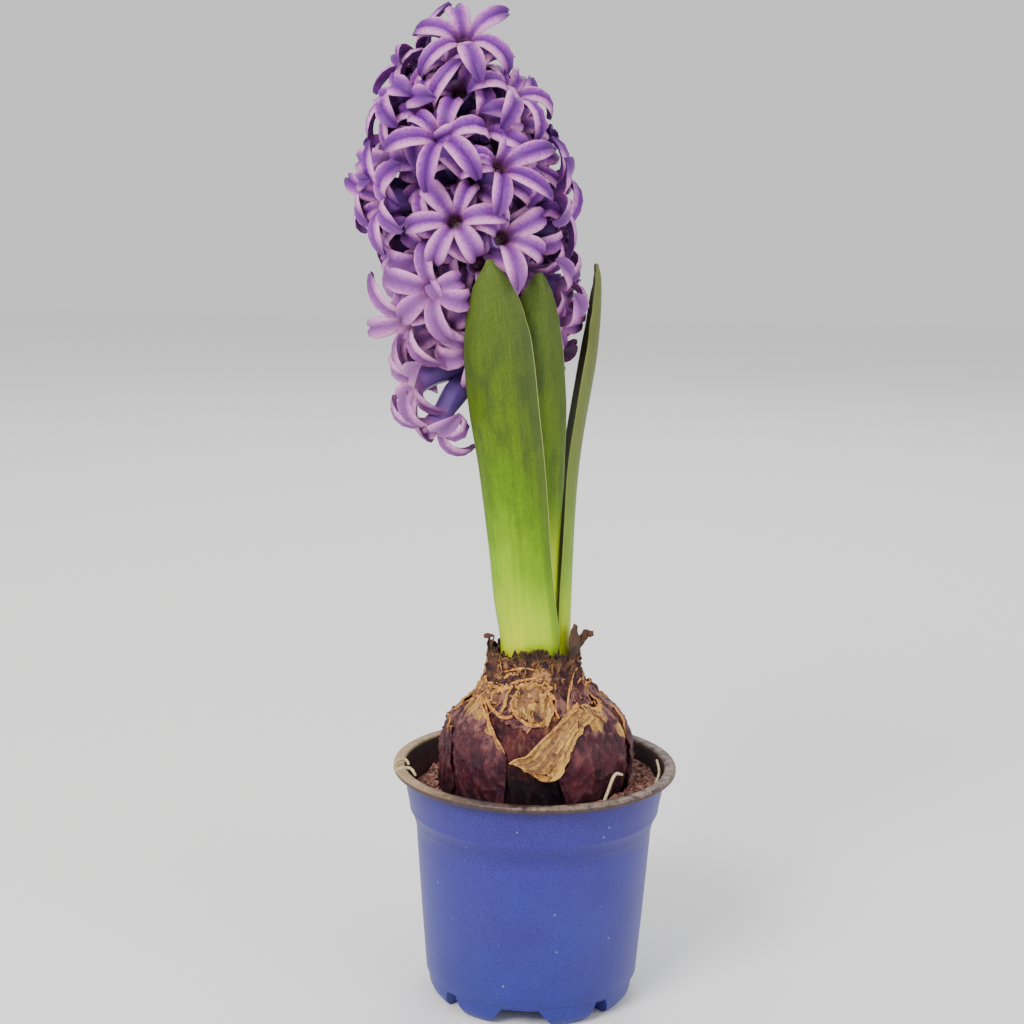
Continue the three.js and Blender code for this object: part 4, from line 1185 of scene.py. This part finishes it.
# The stations of a tepal as middle, left and right, the same as in the solids
def tepalLine(floret, across, length, turn):
    sideways = np.cross(floret["outwards"], across)
    point = floret["throat"] + across * tube["throat"] * tube["rootPart"]
    before = 0
    tracks = []
    for place, half in tepalMarks:
        slope = math.radians(tepal["rise"] - turn * (place - 0.12))
        point = point + spoke(across, floret["outwards"], slope, length * (place - before))
        before = place
        tracks.append((point, point + sideways * half, point - sideways * half))
    spots = []
    for track in zip(*tracks):
        spots += list(track) + [(b + a) / 2 for a, b in zip(track, track[1:])]
    return np.array(spots)


def clearOfLeaves(spots):
    room = tepal["leafRoom"]
    for point in spots:
        for leaf in leaves:
            if point[2] > leaf["rows"][-1][0] + room:
                continue
            x, y, facing, bend, half = readRows(leaf["rows"], point[2])
            out = onRing(1, facing)
            ox, oy = point[0] - x, point[1] - y
            sideways = -ox * out[1] + oy * out[0]
            halfChord = bend * math.sin(half / bend)
            if abs(sideways) > halfChord + room:
                continue
            sag = bend - math.sqrt(max(0, bend * bend - min(abs(sideways), halfChord) ** 2))
            if ox * out[0] + oy * out[1] + sag >= -(leaf["thick"] / 2 + room):
                return False
    return True


# The first way of rolling a tepal that has the most room, as its direction, length and turn
def chooseTepal(floret, azimuth, length, roll, grown):
    best = None
    bestRoom = tepal["leastRoom"]
    near = [spots for middle, spots in grown if np.linalg.norm(middle - floret["throat"]) < tepal["near"]]
    near = np.concatenate(near) if near else np.full((1, 3), 1e6)
    for more, twist, part in tepalWays:
        across = spoke(floret["side"], floret["up"], math.radians(azimuth + twist), 1)
        turn = tepal["turn"] * more * roll
        spots = tepalLine(floret, across, length * part, turn)
        gaps = np.sqrt(((spots[:, None, :] - near[None, :, :]) ** 2).sum(axis=2))
        room = min(tepal["room"], gaps.min())
        if room > bestRoom + tepal["gain"] and clearOfLeaves(spots):
            best = {"across": across, "length": length * part, "turn": turn, "spots": spots}
            bestRoom = room
    return best


def floretAxes(row):
    azimuth, height, tilt, spin, reach = row[:5]
    angle, lean = math.radians(azimuth), math.radians(tilt)
    level = np.array([math.cos(angle), math.sin(angle), 0])
    side = np.array([-math.sin(angle), math.cos(angle), 0])
    outwards = level * math.cos(lean) + np.array([0, 0, math.sin(lean)])
    throat = stemAt(height) + level * reach
    rootHeight = min(stem["spikeTop"] - 3, max(stem["cut"] + 5, throat[2] - reach * math.sin(lean)))
    root = stemAt(rootHeight) + level
    return {
        "side": side, "outwards": outwards, "up": np.cross(outwards, side), "throat": throat, "spin": spin,
        "reach": reach, "root": root, "elbow": throat - outwards * 0.55 * reach, "tepals": [],
        "rolled": row[5] if len(row) > 5 else 1,
    }


def axisAt(floret, t):
    return (1 - t) ** 2 * floret["root"] + 2 * t * (1 - t) * floret["elbow"] + t * t * floret["throat"]


def axisWay(floret, t):
    way = (1 - t) * (floret["elbow"] - floret["root"]) + t * (floret["throat"] - floret["elbow"])
    return way / np.linalg.norm(way)


def growFlorets():
    draw = SeededDraw(tepal["seed"])
    rows = viewerFlorets + farFlorets(draw) + innerFlorets
    grown = []
    florets = []
    for row in rows:
        floret = floretAxes(row)
        for k in range(6):
            length = tepal["length"] * (1 + tepal["lengthVaries"] * (2 * draw() - 1))
            roll = floret["rolled"] * (1 + tepal["turnVaries"] * (2 * draw() - 1))
            floret["tepals"].append(chooseTepal(floret, floret["spin"] + 60 * k, length, roll, grown))
        spots = [chosen["spots"] for chosen in floret["tepals"] if chosen]
        before = floret["throat"] + floret["outwards"] * tube["ahead"]
        mouth = [before, before + floret["outwards"] * tube["mouthRoom"]]
        for k in range(6):
            way = spoke(floret["side"], floret["up"], math.radians(60 * k), tube["mouthRoom"])
            mouth.append(before + way)
        spots.append(np.array([axisAt(floret, t) for t in (0.5, 0.7, 0.9)] + mouth))
        grown.append((floret["throat"], np.concatenate(spots)))
        florets.append(floret)
    return florets


# Copies one piece once for each list of points, and joins the copies
def copiesOf(pattern, shapes, name, tones):
    made = []
    for points, tone in zip(shapes, tones):
        copy = pattern.copy()
        copy.data = pattern.data.copy()
        bpy.context.collection.objects.link(copy)
        copy.data.vertices.foreach_set("co", np.asarray(points, dtype=float).ravel())
        copy.data.attributes["tone"].data.foreach_set("value", [tone] * len(points))
        made.append(copy)
    bpy.data.objects.remove(pattern, do_unlink=True)
    return joined(made, name)


def toFrame(points):
    return np.asarray(points) * mm + np.array([potMiddle[0], potMiddle[1], 0])


# A plain ball and where each of its points lies on it, as its place round and its ring
def patternBall(name, segments, rings):
    places = []

    def shape(u, v):
        places.append((u, round(v * rings)))
        return Vector((*onBall(u, v), v))

    piece = shapedBall(name, segments, rings, shape)
    poles = (0, rings)
    mark(
        piece, tone=[0.5] * len(places), along=[ring / rings for u, ring in places],
        across=[0 if ring in poles else abs(math.cos(2 * math.pi * u)) for u, ring in places],
        upper=[math.sin(2 * math.pi * u) for u, ring in places])
    return piece, places


petal = {
    "segments": 12, "seed": 5, "sunk": 0.35, "footSlope": 80, "bow": 4.4, "twist": 70,
    "marks": [-0.1, -0.1, 0.02, 0.14, 0.28, 0.44, 0.6, 0.75, 0.88, 0.97, 1],
    "half": [(-0.1, 1.9), (0.02, 2.2), (0.14, 2.65), (0.28, 3.15), (0.44, 3.5), (0.6, 3.5), (0.75, 2.95),
             (0.88, 1.95), (0.97, 0.9), (1, 0.2)],
    "thick": [(-0.1, 1), (0.1, 1.3), (0.5, 1.1), (0.85, 0.8), (1, 0.5)],
    "cup": [(-0.1, 0.9), (0.1, 0.8), (0.4, 0.5), (0.7, 0.55), (0.9, 1.1), (1, 1.2)],
    "lobe": [(-0.1, 0.1), (0.05, 0.4), (0.3, 1.05), (0.75, 1.05), (0.95, 0.3), (1, 0)],
}


def petalLean(chosen, place):
    return math.radians(tepal["rise"] - chosen["turn"] * (place + 0.01))


def petalPoints(floret, chosen, places, draw):
    across, outwards = chosen["across"], floret["outwards"]
    sideways = np.cross(outwards, across)
    marks = petal["marks"]
    root = tube["throat"] * tube["rootPart"] - petal["sunk"]
    point = floret["throat"] + across * root - outwards * 0.12 * chosen["length"]
    bow = petal["bow"] * (draw() - 0.5)
    twist = petal["twist"] * (draw() - 0.5)
    wide = 0.86 + 0.22 * draw()
    wave = 6.3 * draw()
    stations = []
    before = marks[0]
    for place in marks:
        middle = (before + place) / 2
        slope = petalLean(chosen, middle) if middle >= 0 else math.radians(petal["footSlope"])
        point = point + spoke(across, outwards, slope, chosen["length"] * (place - before))
        before = place
        upper = spoke(outwards, -across, petalLean(chosen, place), 1)
        turn = math.radians(twist * max(0, place) ** 1.5)
        wing = sideways * math.cos(turn) + upper * math.sin(turn)
        face = upper * math.cos(turn) - sideways * math.sin(turn)
        ripple = upper * 0.3 * math.sin(wave + 7 * place) * max(0, place)
        centre = point + sideways * bow * max(0, place) ** 2 + ripple
        stations.append((centre, wing, face))
    points = []
    last = len(marks) - 1
    for u, ring in places:
        centre, wing, face = stations[ring]
        place = marks[ring]
        s, level = math.cos(2 * math.pi * u), math.sin(2 * math.pi * u)
        if ring in (0, last):
            s = level = 0
        half = smoothRows(petal["half"], place)[0] * wide
        thick = smoothRows(petal["thick"], place)[0] / 2
        height = smoothRows(petal["cup"], place)[0] * s * s
        height += smoothRows(petal["lobe"], place)[0] * (1 - (2 * abs(s) - 1) ** 2)
        skin = thick * level * (1 + (0.5 * (1 - abs(s)) if level < 0 else 0))
        points.append(centre + wing * half * s + face * (height + skin))
    return toFrame(points)


def makePetals(florets, paint):
    pattern, places = patternBall("petalPattern", petal["segments"], len(petal["marks"]) - 1)
    draw = SeededDraw(petal["seed"])
    shapes = []
    tones = []
    for floret in florets:
        tone = draw()
        for chosen in floret["tepals"]:
            if chosen:
                shapes.append(petalPoints(floret, chosen, places, draw))
                tones.append(0.7 * tone + 0.3 * draw())
    piece = copiesOf(pattern, shapes, "petals", tones)
    editAll(piece, faceOut)
    return finish(piece, ["flower_spike"], [paint], 70)


def petalPaint():
    paint = Paint("petal")
    where = paint.place()
    z = paint.parts(where)[2]
    tone, across, along = (paint.attribute(name) for name in ("tone", "across", "along"))
    upper = paint.step(paint.attribute("upper"), -0.1, 0.2)
    grain = paint.noise(where, 1.1, 3)
    fine = paint.noise(where, 3.2, 2)
    blush = across + (grain - 0.5) * 0.6 + (tone - 0.5) * 0.4 - paint.step(along, 0.5, 0.9) * 0.3
    top = paint.node("ShaderNodeValToRGB", {"stops": [
        (0.0, tint(80, 6, 116)), (0.16, tint(100, 18, 138)), (0.36, tint(128, 48, 154)),
        (0.58, tint(168, 92, 170)), (0.88, tint(220, 152, 204)),
    ]}, {0: blush})
    pale = paint.step(across + (grain - 0.5) * 0.4, 0.2, 0.85)
    below = paint.mix(pale, tint(66, 20, 100), tint(138, 66, 148))
    paint.colour = paint.mix(upper, below, top)
    tip = paint.step(along + (grain - 0.5) * 0.2 + (tone - 0.5) * 0.15, 0.58, 0.82)
    paint.over(tip * 0.9, tint(66, 2, 104))
    # Darker near the throat: painted shade where the tepals crowd
    foot = paint.step(along + (grain - 0.5) * 0.1, 0.4, 0.14)
    paint.over(foot * 0.75, tint(76, 26, 78))
    paint.over(paint.step(tone, 0.45, 0.95) * 0.3, tint(92, 28, 136))
    paint.over(fine * 0.1, tint(226, 166, 206))
    paint.over(paint.step(z, 262, 205) * 0.2, tint(206, 150, 176))
    paint.set(Subsurface_Weight=0.1, Subsurface_Scale=0.0015)
    return paint.done(grain * 0.7 + fine * 0.5, 0.35, 0.15, Roughness=0.5, Specular_IOR_Level=0.2)


throat = {
    "segments": 18, "seed": 9, "fullReach": 26, "leastReach": 14,
    # how far along the tube, and its radius; past the lip the wall goes back in
    "rings": [
        (0, 0), (0, 1.3), (0.1, 1.6), (0.2, 2.6), (0.32, 3.6), (0.46, 3.9), (0.6, 3.6), (0.74, 3.2),
        (0.86, 3.3), (0.94, 3.6), (1, 3.9), (1.005, 3.4), (0.97, 2.6), (0.91, 1.9), (0.83, 1.5), (0.83, 0),
    ],
    "lip": 10,
}


def tubePoints(floret, places):
    points = []
    short = throat["fullReach"] / max(throat["leastReach"], floret["reach"])
    for u, ring in places:
        t, radius = throat["rings"][ring]
        if ring >= throat["lip"]:
            t = 1 - (1 - t) * short
        angle = 2 * math.pi * u
        across = np.cross(axisWay(floret, min(1, t)), floret["side"])
        radius *= 1 + 0.06 * math.cos(6 * (angle - math.radians(floret["spin"])))
        points.append(axisAt(floret, t) + spoke(floret["side"], across, angle, radius))
    return toFrame(points)


def makeTubes(florets, paint):
    pattern, places = patternBall("tubePattern", throat["segments"], len(throat["rings"]) - 1)
    draw = SeededDraw(throat["seed"])
    shapes = [tubePoints(floret, places) for floret in florets]
    piece = copiesOf(pattern, shapes, "floretTubes", [draw() for floret in florets])
    editAll(piece, faceOut)
    return finish(piece, ["flower_spike"], [paint], 60)


def tubePaint():
    paint = Paint("floretTube")
    where = paint.place()
    tone, along = paint.attribute("tone"), paint.attribute("along")
    grain = paint.noise(where, 1.1, 3)
    ribs = paint.noise(where, 0.5, 2)
    paint.colour = paint.mix(ribs, tint(62, 42, 112), tint(104, 66, 150))
    paint.over(paint.step(along, 0.42, 0.6) * 0.6, tint(128, 70, 160))
    paint.over(paint.step(along, 0.68, 0.76), tint(116, 50, 116))
    paint.over(paint.step(along, 0.76, 0.88), tint(92, 34, 62))
    paint.over(tone * 0.25, tint(44, 40, 84))
    paint.over(grain * 0.1, tint(150, 120, 170))
    return paint.done(
        ribs + grain * 0.5, 0.35, 0.15, Roughness=0.42, Subsurface_Weight=0.06, Subsurface_Scale=0.001)


anther = {"segments": 6, "rings": 5, "length": 1.2, "thick": 0.34, "ring": 0.85, "depth": 1.1}


def makeAnthers(florets, paint):
    pattern, places = patternBall("antherPattern", anther["segments"], anther["rings"])
    shapes = []
    for floret in florets:
        for k in range(6):
            way = spoke(floret["side"], floret["up"], math.radians(floret["spin"] + 60 * k), 1)
            start = floret["throat"] + way * anther["ring"]
            start = start - floret["outwards"] * (anther["depth"] + anther["length"])
            other = np.cross(floret["outwards"], way)
            points = []
            for u, ring in places:
                v = ring / anther["rings"]
                girth = anther["thick"] * math.sin(math.pi * v) ** 0.6
                along = floret["outwards"] * anther["length"] * v
                points.append(start + along + spoke(way, other, 2 * math.pi * u, girth))
            shapes.append(toFrame(points))
    piece = copiesOf(pattern, shapes, "anthers", [0.5] * len(shapes))
    editAll(piece, faceOut)
    return finish(piece, ["flower_spike"], [paint], 60)


def antherPaint():
    paint = Paint("anther")
    grain = paint.noise(paint.place(), 2.2, 3)
    paint.colour = paint.mix(grain, tint(60, 26, 48), tint(100, 58, 70))
    paint.set(Base_Color=paint.colour, Roughness=0.7)
    return paint


# Soil

soil = {
    "level": 68.6, "slope": 0.055, "segments": 220,
    "crumbs": 520, "crumbSeed": 31, "crumbsFrom": 30.6, "crumbsTo": 38.3,
    "crumbSegments": 6, "crumbRings": 4,
    "side": [(0, 8.4), (16, 8.45), (31.5, 8.45), (32.7, 10.5), (34.3, 33), (36, 55), (36.6, 59)],
    "top": [38.9, 38.5, 38, 37.4, 36.8, 36.2, 35.6, 35, 34.4, 33.8, 33.2, 32.6, 32, 31.4, 30.8, 30.2],
    "hole": [(29.6, 66.4), (27.9, 65), (25.2, 57.6), (17, 51.7), (8.4, 49.7), (0, 49.7)],
}


def soilHeight(x, y):
    lump = 1.5 * rougher(x, y, 2, 5.5, 4) + 0.7 * abs(rough(x, y, 8, 1.7)) + 0.35 * rough(x, y, 4, 0.8)
    bank = 1.3 * smoothStep(math.hypot(x - bulb["x"], y), 33.5, 30)
    return soil["level"] + soil["slope"] * x + lump + bank


def makeSoil(paint):
    rings = soil["side"] + [(radius, None) for radius in soil["top"]] + soil["hole"]
    last = len(rings) - 1

    def shape(u, v):
        radius, z = rings[round(v * last)]
        angle = 2 * math.pi * u
        x, y = radius * math.cos(angle), radius * math.sin(angle)
        if z is None:
            return spot(x, y, soilHeight(x, y))
        inHole = round(v * last) > last - len(soil["hole"])
        return spot(x + (bulb["x"] if inHole else 0), y, z)

    piece = shapedBall("soilBed", soil["segments"], last, shape)
    draw = SeededDraw(soil["crumbSeed"])
    pattern, places = patternBall("crumbPattern", soil["crumbSegments"], soil["crumbRings"])
    shapes = []
    for i in range(soil["crumbs"]):
        angle, out = 2 * math.pi * draw(), lerp(soil["crumbsFrom"], soil["crumbsTo"], draw())
        size = 0.3 + 1.0 * draw() ** 3
        x, y = out * math.cos(angle), out * math.sin(angle)
        z = soilHeight(x, y) + 0.25 * size
        seed = 40 * draw()
        points = []
        for u, ring in places:
            v = ring / soil["crumbRings"]
            way = (*onBall(u, v), math.cos(math.pi * v))
            girth = size * (1 + 0.7 * rough(way[0] + seed, way[1], way[2], 0.9))
            points.append((x + way[0] * girth * 1.2, y + way[1] * girth, z + way[2] * girth * 0.8))
        shapes.append(toFrame(points))
    crumbs = copiesOf(pattern, shapes, "crumbs", [draw() for each in shapes])
    editAll(crumbs, faceOut)
    finish(crumbs, [], [paint], 30)
    return finish(piece, ["soil"], [paint], 50)


def soilPaint():
    paint = Paint("soil")
    where = paint.place()
    tone = paint.attribute("tone")
    lumps = paint.noise(where, 0.7, 6, 0.7)
    fine = paint.noise(where, 3.2, 4)
    x, y, z = paint.parts(where)
    paint.colour = paint.mix(paint.step(lumps, 0.38, 0.64), tint(40, 20, 24), tint(176, 120, 104))
    paint.over(paint.step(fine, 0.56, 0.7) * 0.6, tint(198, 150, 128))
    paint.over(tone * 0.3, tint(120, 74, 54))
    # Front of the soil very dark: painted shade cast by the bulb and the pot's front rim
    frontShade = paint.step(y, -20, -29) * paint.step(x.maths("ABSOLUTE", x), 26, 14)
    paint.over(frontShade * 0.85, tint(16, 9, 14))
    return paint.done(lumps + fine * 0.6, 0.9, 0.5, Roughness=0.9)


# Dry straws: points along each, and its radius

strawMesh = {"segments": 12, "rings": 28}
straws = [
    {"node": "straw_1", "name": "straw1Dry", "radius": 0.42,
     "points": [(-44, -9, 77.2), (-42.6, -6.4, 77.6), (-40.8, -5.4, 77.4), (-39.6, -7.4, 76.4)]},
    {"node": "straw_2", "name": "straw2Dry", "radius": 0.45,
     "points": [(-43.4, -15.6, 77.1), (-41, -14.2, 77.6), (-38.6, -13.6, 77.2), (-36.8, -15.4, 75.4)]},
    {"node": "straw_3", "name": "straw3Dry", "radius": 0.45,
     "points": [(20.4, -31.6, 71.4), (22.2, -29.6, 76.2), (24.4, -27.4, 81.2), (27, -26.6, 81)]},
    {"node": "straw_4", "name": "straw4Dry", "radius": 0.4,
     "points": [(39.3, 6.6, 75.3), (39.6, -2.6, 74.2), (37.8, -12.2, 73)]},
]


def makeStraw(straw, paint):
    points = [(*point, straw["radius"]) for point in straw["points"]]
    piece = strand(straw["name"], points, strawMesh["segments"], strawMesh["rings"])
    return finish(piece, [straw["node"]], [paint], 60)


def strawPaint():
    paint = Paint("straw")
    where = paint.place()
    fibre = paint.noise(where, 1.2, 4)
    paint.colour = paint.mix(fibre, tint(150, 128, 92), tint(222, 206, 158))
    return paint.done(fibre, 0.4, 0.2, Roughness=0.6)


# Build

makePot([potPaint(), rimPaint()])
print("pot done")
makeSoil(soilPaint())
print("soil done")
makeBulb(bulbPaint())
plum = tunicPaint("plumTunic", tunicTints["plum"])
makeTunic("tunicLeft", "left", "tunic_left", plum)
makeTunic("tunicRight", "right", "tunic_right", plum)
makeScales("outerScales", outerScales, [], plum, 0.8)
gold = tunicPaint("goldTunic", tunicTints["gold"])
makeScales("foldScale", foldScale, ["tunic_front"], gold, 0.6)
makeScales("shoulderScales", shoulderScales, [], gold, 0.5)
makeScales("plumScales", plumScales, [], plum, 0.5)
makeScales("neckScales", neckScales, [], neckScalePaint(), 0.55)
makeMargins(marginPaint())
makeSheath(sheathPaint())
print("bulb done")
green = leafPaint()
for leaf in leaves:
    makeLeaf(leaf, green)
stalk = stalkPaint()
joint = stem["cut"] + stem["gap"]
makeStalk("stemLower", stem["line"][0][0], joint, stem["low"], stem["high"], ["stem"], stalk)
makeStalk(
    "spikeStalk", joint, stem["spikeTop"], stem["spikeLow"], stem["spikeHigh"], ["flower_spike"],
    stalk)
print("leaves and stem done")
florets = growFlorets()
makePetals(florets, petalPaint())
makeTubes(florets, tubePaint())
makeAnthers(florets, antherPaint())
tepalCount = sum(1 for floret in florets for chosen in floret["tepals"] if chosen)
print("florets done:", len(florets), "with", tepalCount, "tepals")
dry = strawPaint()
for straw in straws:
    makeStraw(straw, dry)
print("straws done")

# Floor, light and camera

# the floor and the lights are in metres, and the lights' power in watts
stage = {"floorSize": 6.0, "white": (0.93, 0.93, 0.93, 1), "world": 0.85}

deselectAll()
bpy.ops.mesh.primitive_plane_add(size=stage["floorSize"], location=(0, 0, 0))
floor = bpy.context.object
floor.name = "floor"
floorPaint = Paint("floorWhite")
floorPaint.set(Base_Color=stage["white"], Roughness=0.9, Specular_IOR_Level=0.1)
floor.data.materials.append(floorPaint.material)


def addLight(name, place, aim, size, power, colour):
    deselectAll()
    bpy.ops.object.light_add(type="AREA", location=place)
    lamp = bpy.context.object
    lamp.name = name
    lamp.rotation_euler = (Vector(aim) - Vector(place)).to_track_quat("-Z", "Y").to_euler()
    lamp.data.shape = "DISK"
    lamp.data.size = size
    lamp.data.energy = power
    lamp.data.color = colour


addLight("keyLight", (-0.7, -1.1, 1.1), (0, 0, 0.15), 0.7, 26, (1.0, 0.97, 0.94))
addLight("fillLight", (1.1, -0.9, 0.6), (0, 0, 0.15), 1.0, 7, (0.95, 0.97, 1.0))
addLight("rearLight", (0.2, 1.2, 1.3), (0, 0, 0.18), 1.0, 9, (1.0, 1.0, 1.0))

world = bpy.data.worlds.new("studio")
bpy.context.scene.world = world
world.use_nodes = True
world.node_tree.nodes["Background"].inputs["Color"].default_value = (1, 1, 1, 1)
world.node_tree.nodes["Background"].inputs["Strength"].default_value = stage["world"]

# the focal length is in picture widths, and the sensor in millimetres
camera = {
    "from": (0, -550, 256.38), "aim": (-8.54, 0, 156.77), "roll": 0.01625,
    "focal": 1795 / 1024, "sensor": 36, "nearest": 0.05, "furthest": 20,
}
deselectAll()
bpy.ops.object.camera_add(location=spot(*camera["from"]))
viewer = bpy.context.object
viewer.name = "viewer"
viewer.rotation_mode = "QUATERNION"
aim = (spot(*camera["aim"]) - spot(*camera["from"])).to_track_quat("-Z", "Y")
viewer.rotation_quaternion = aim @ Quaternion((0, 0, 1), camera["roll"])
viewer.data.sensor_width = camera["sensor"]
viewer.data.lens = camera["focal"] * camera["sensor"]
viewer.data.clip_start = camera["nearest"]
viewer.data.clip_end = camera["furthest"]
bpy.context.scene.camera = viewer
print("floor, light and camera done")
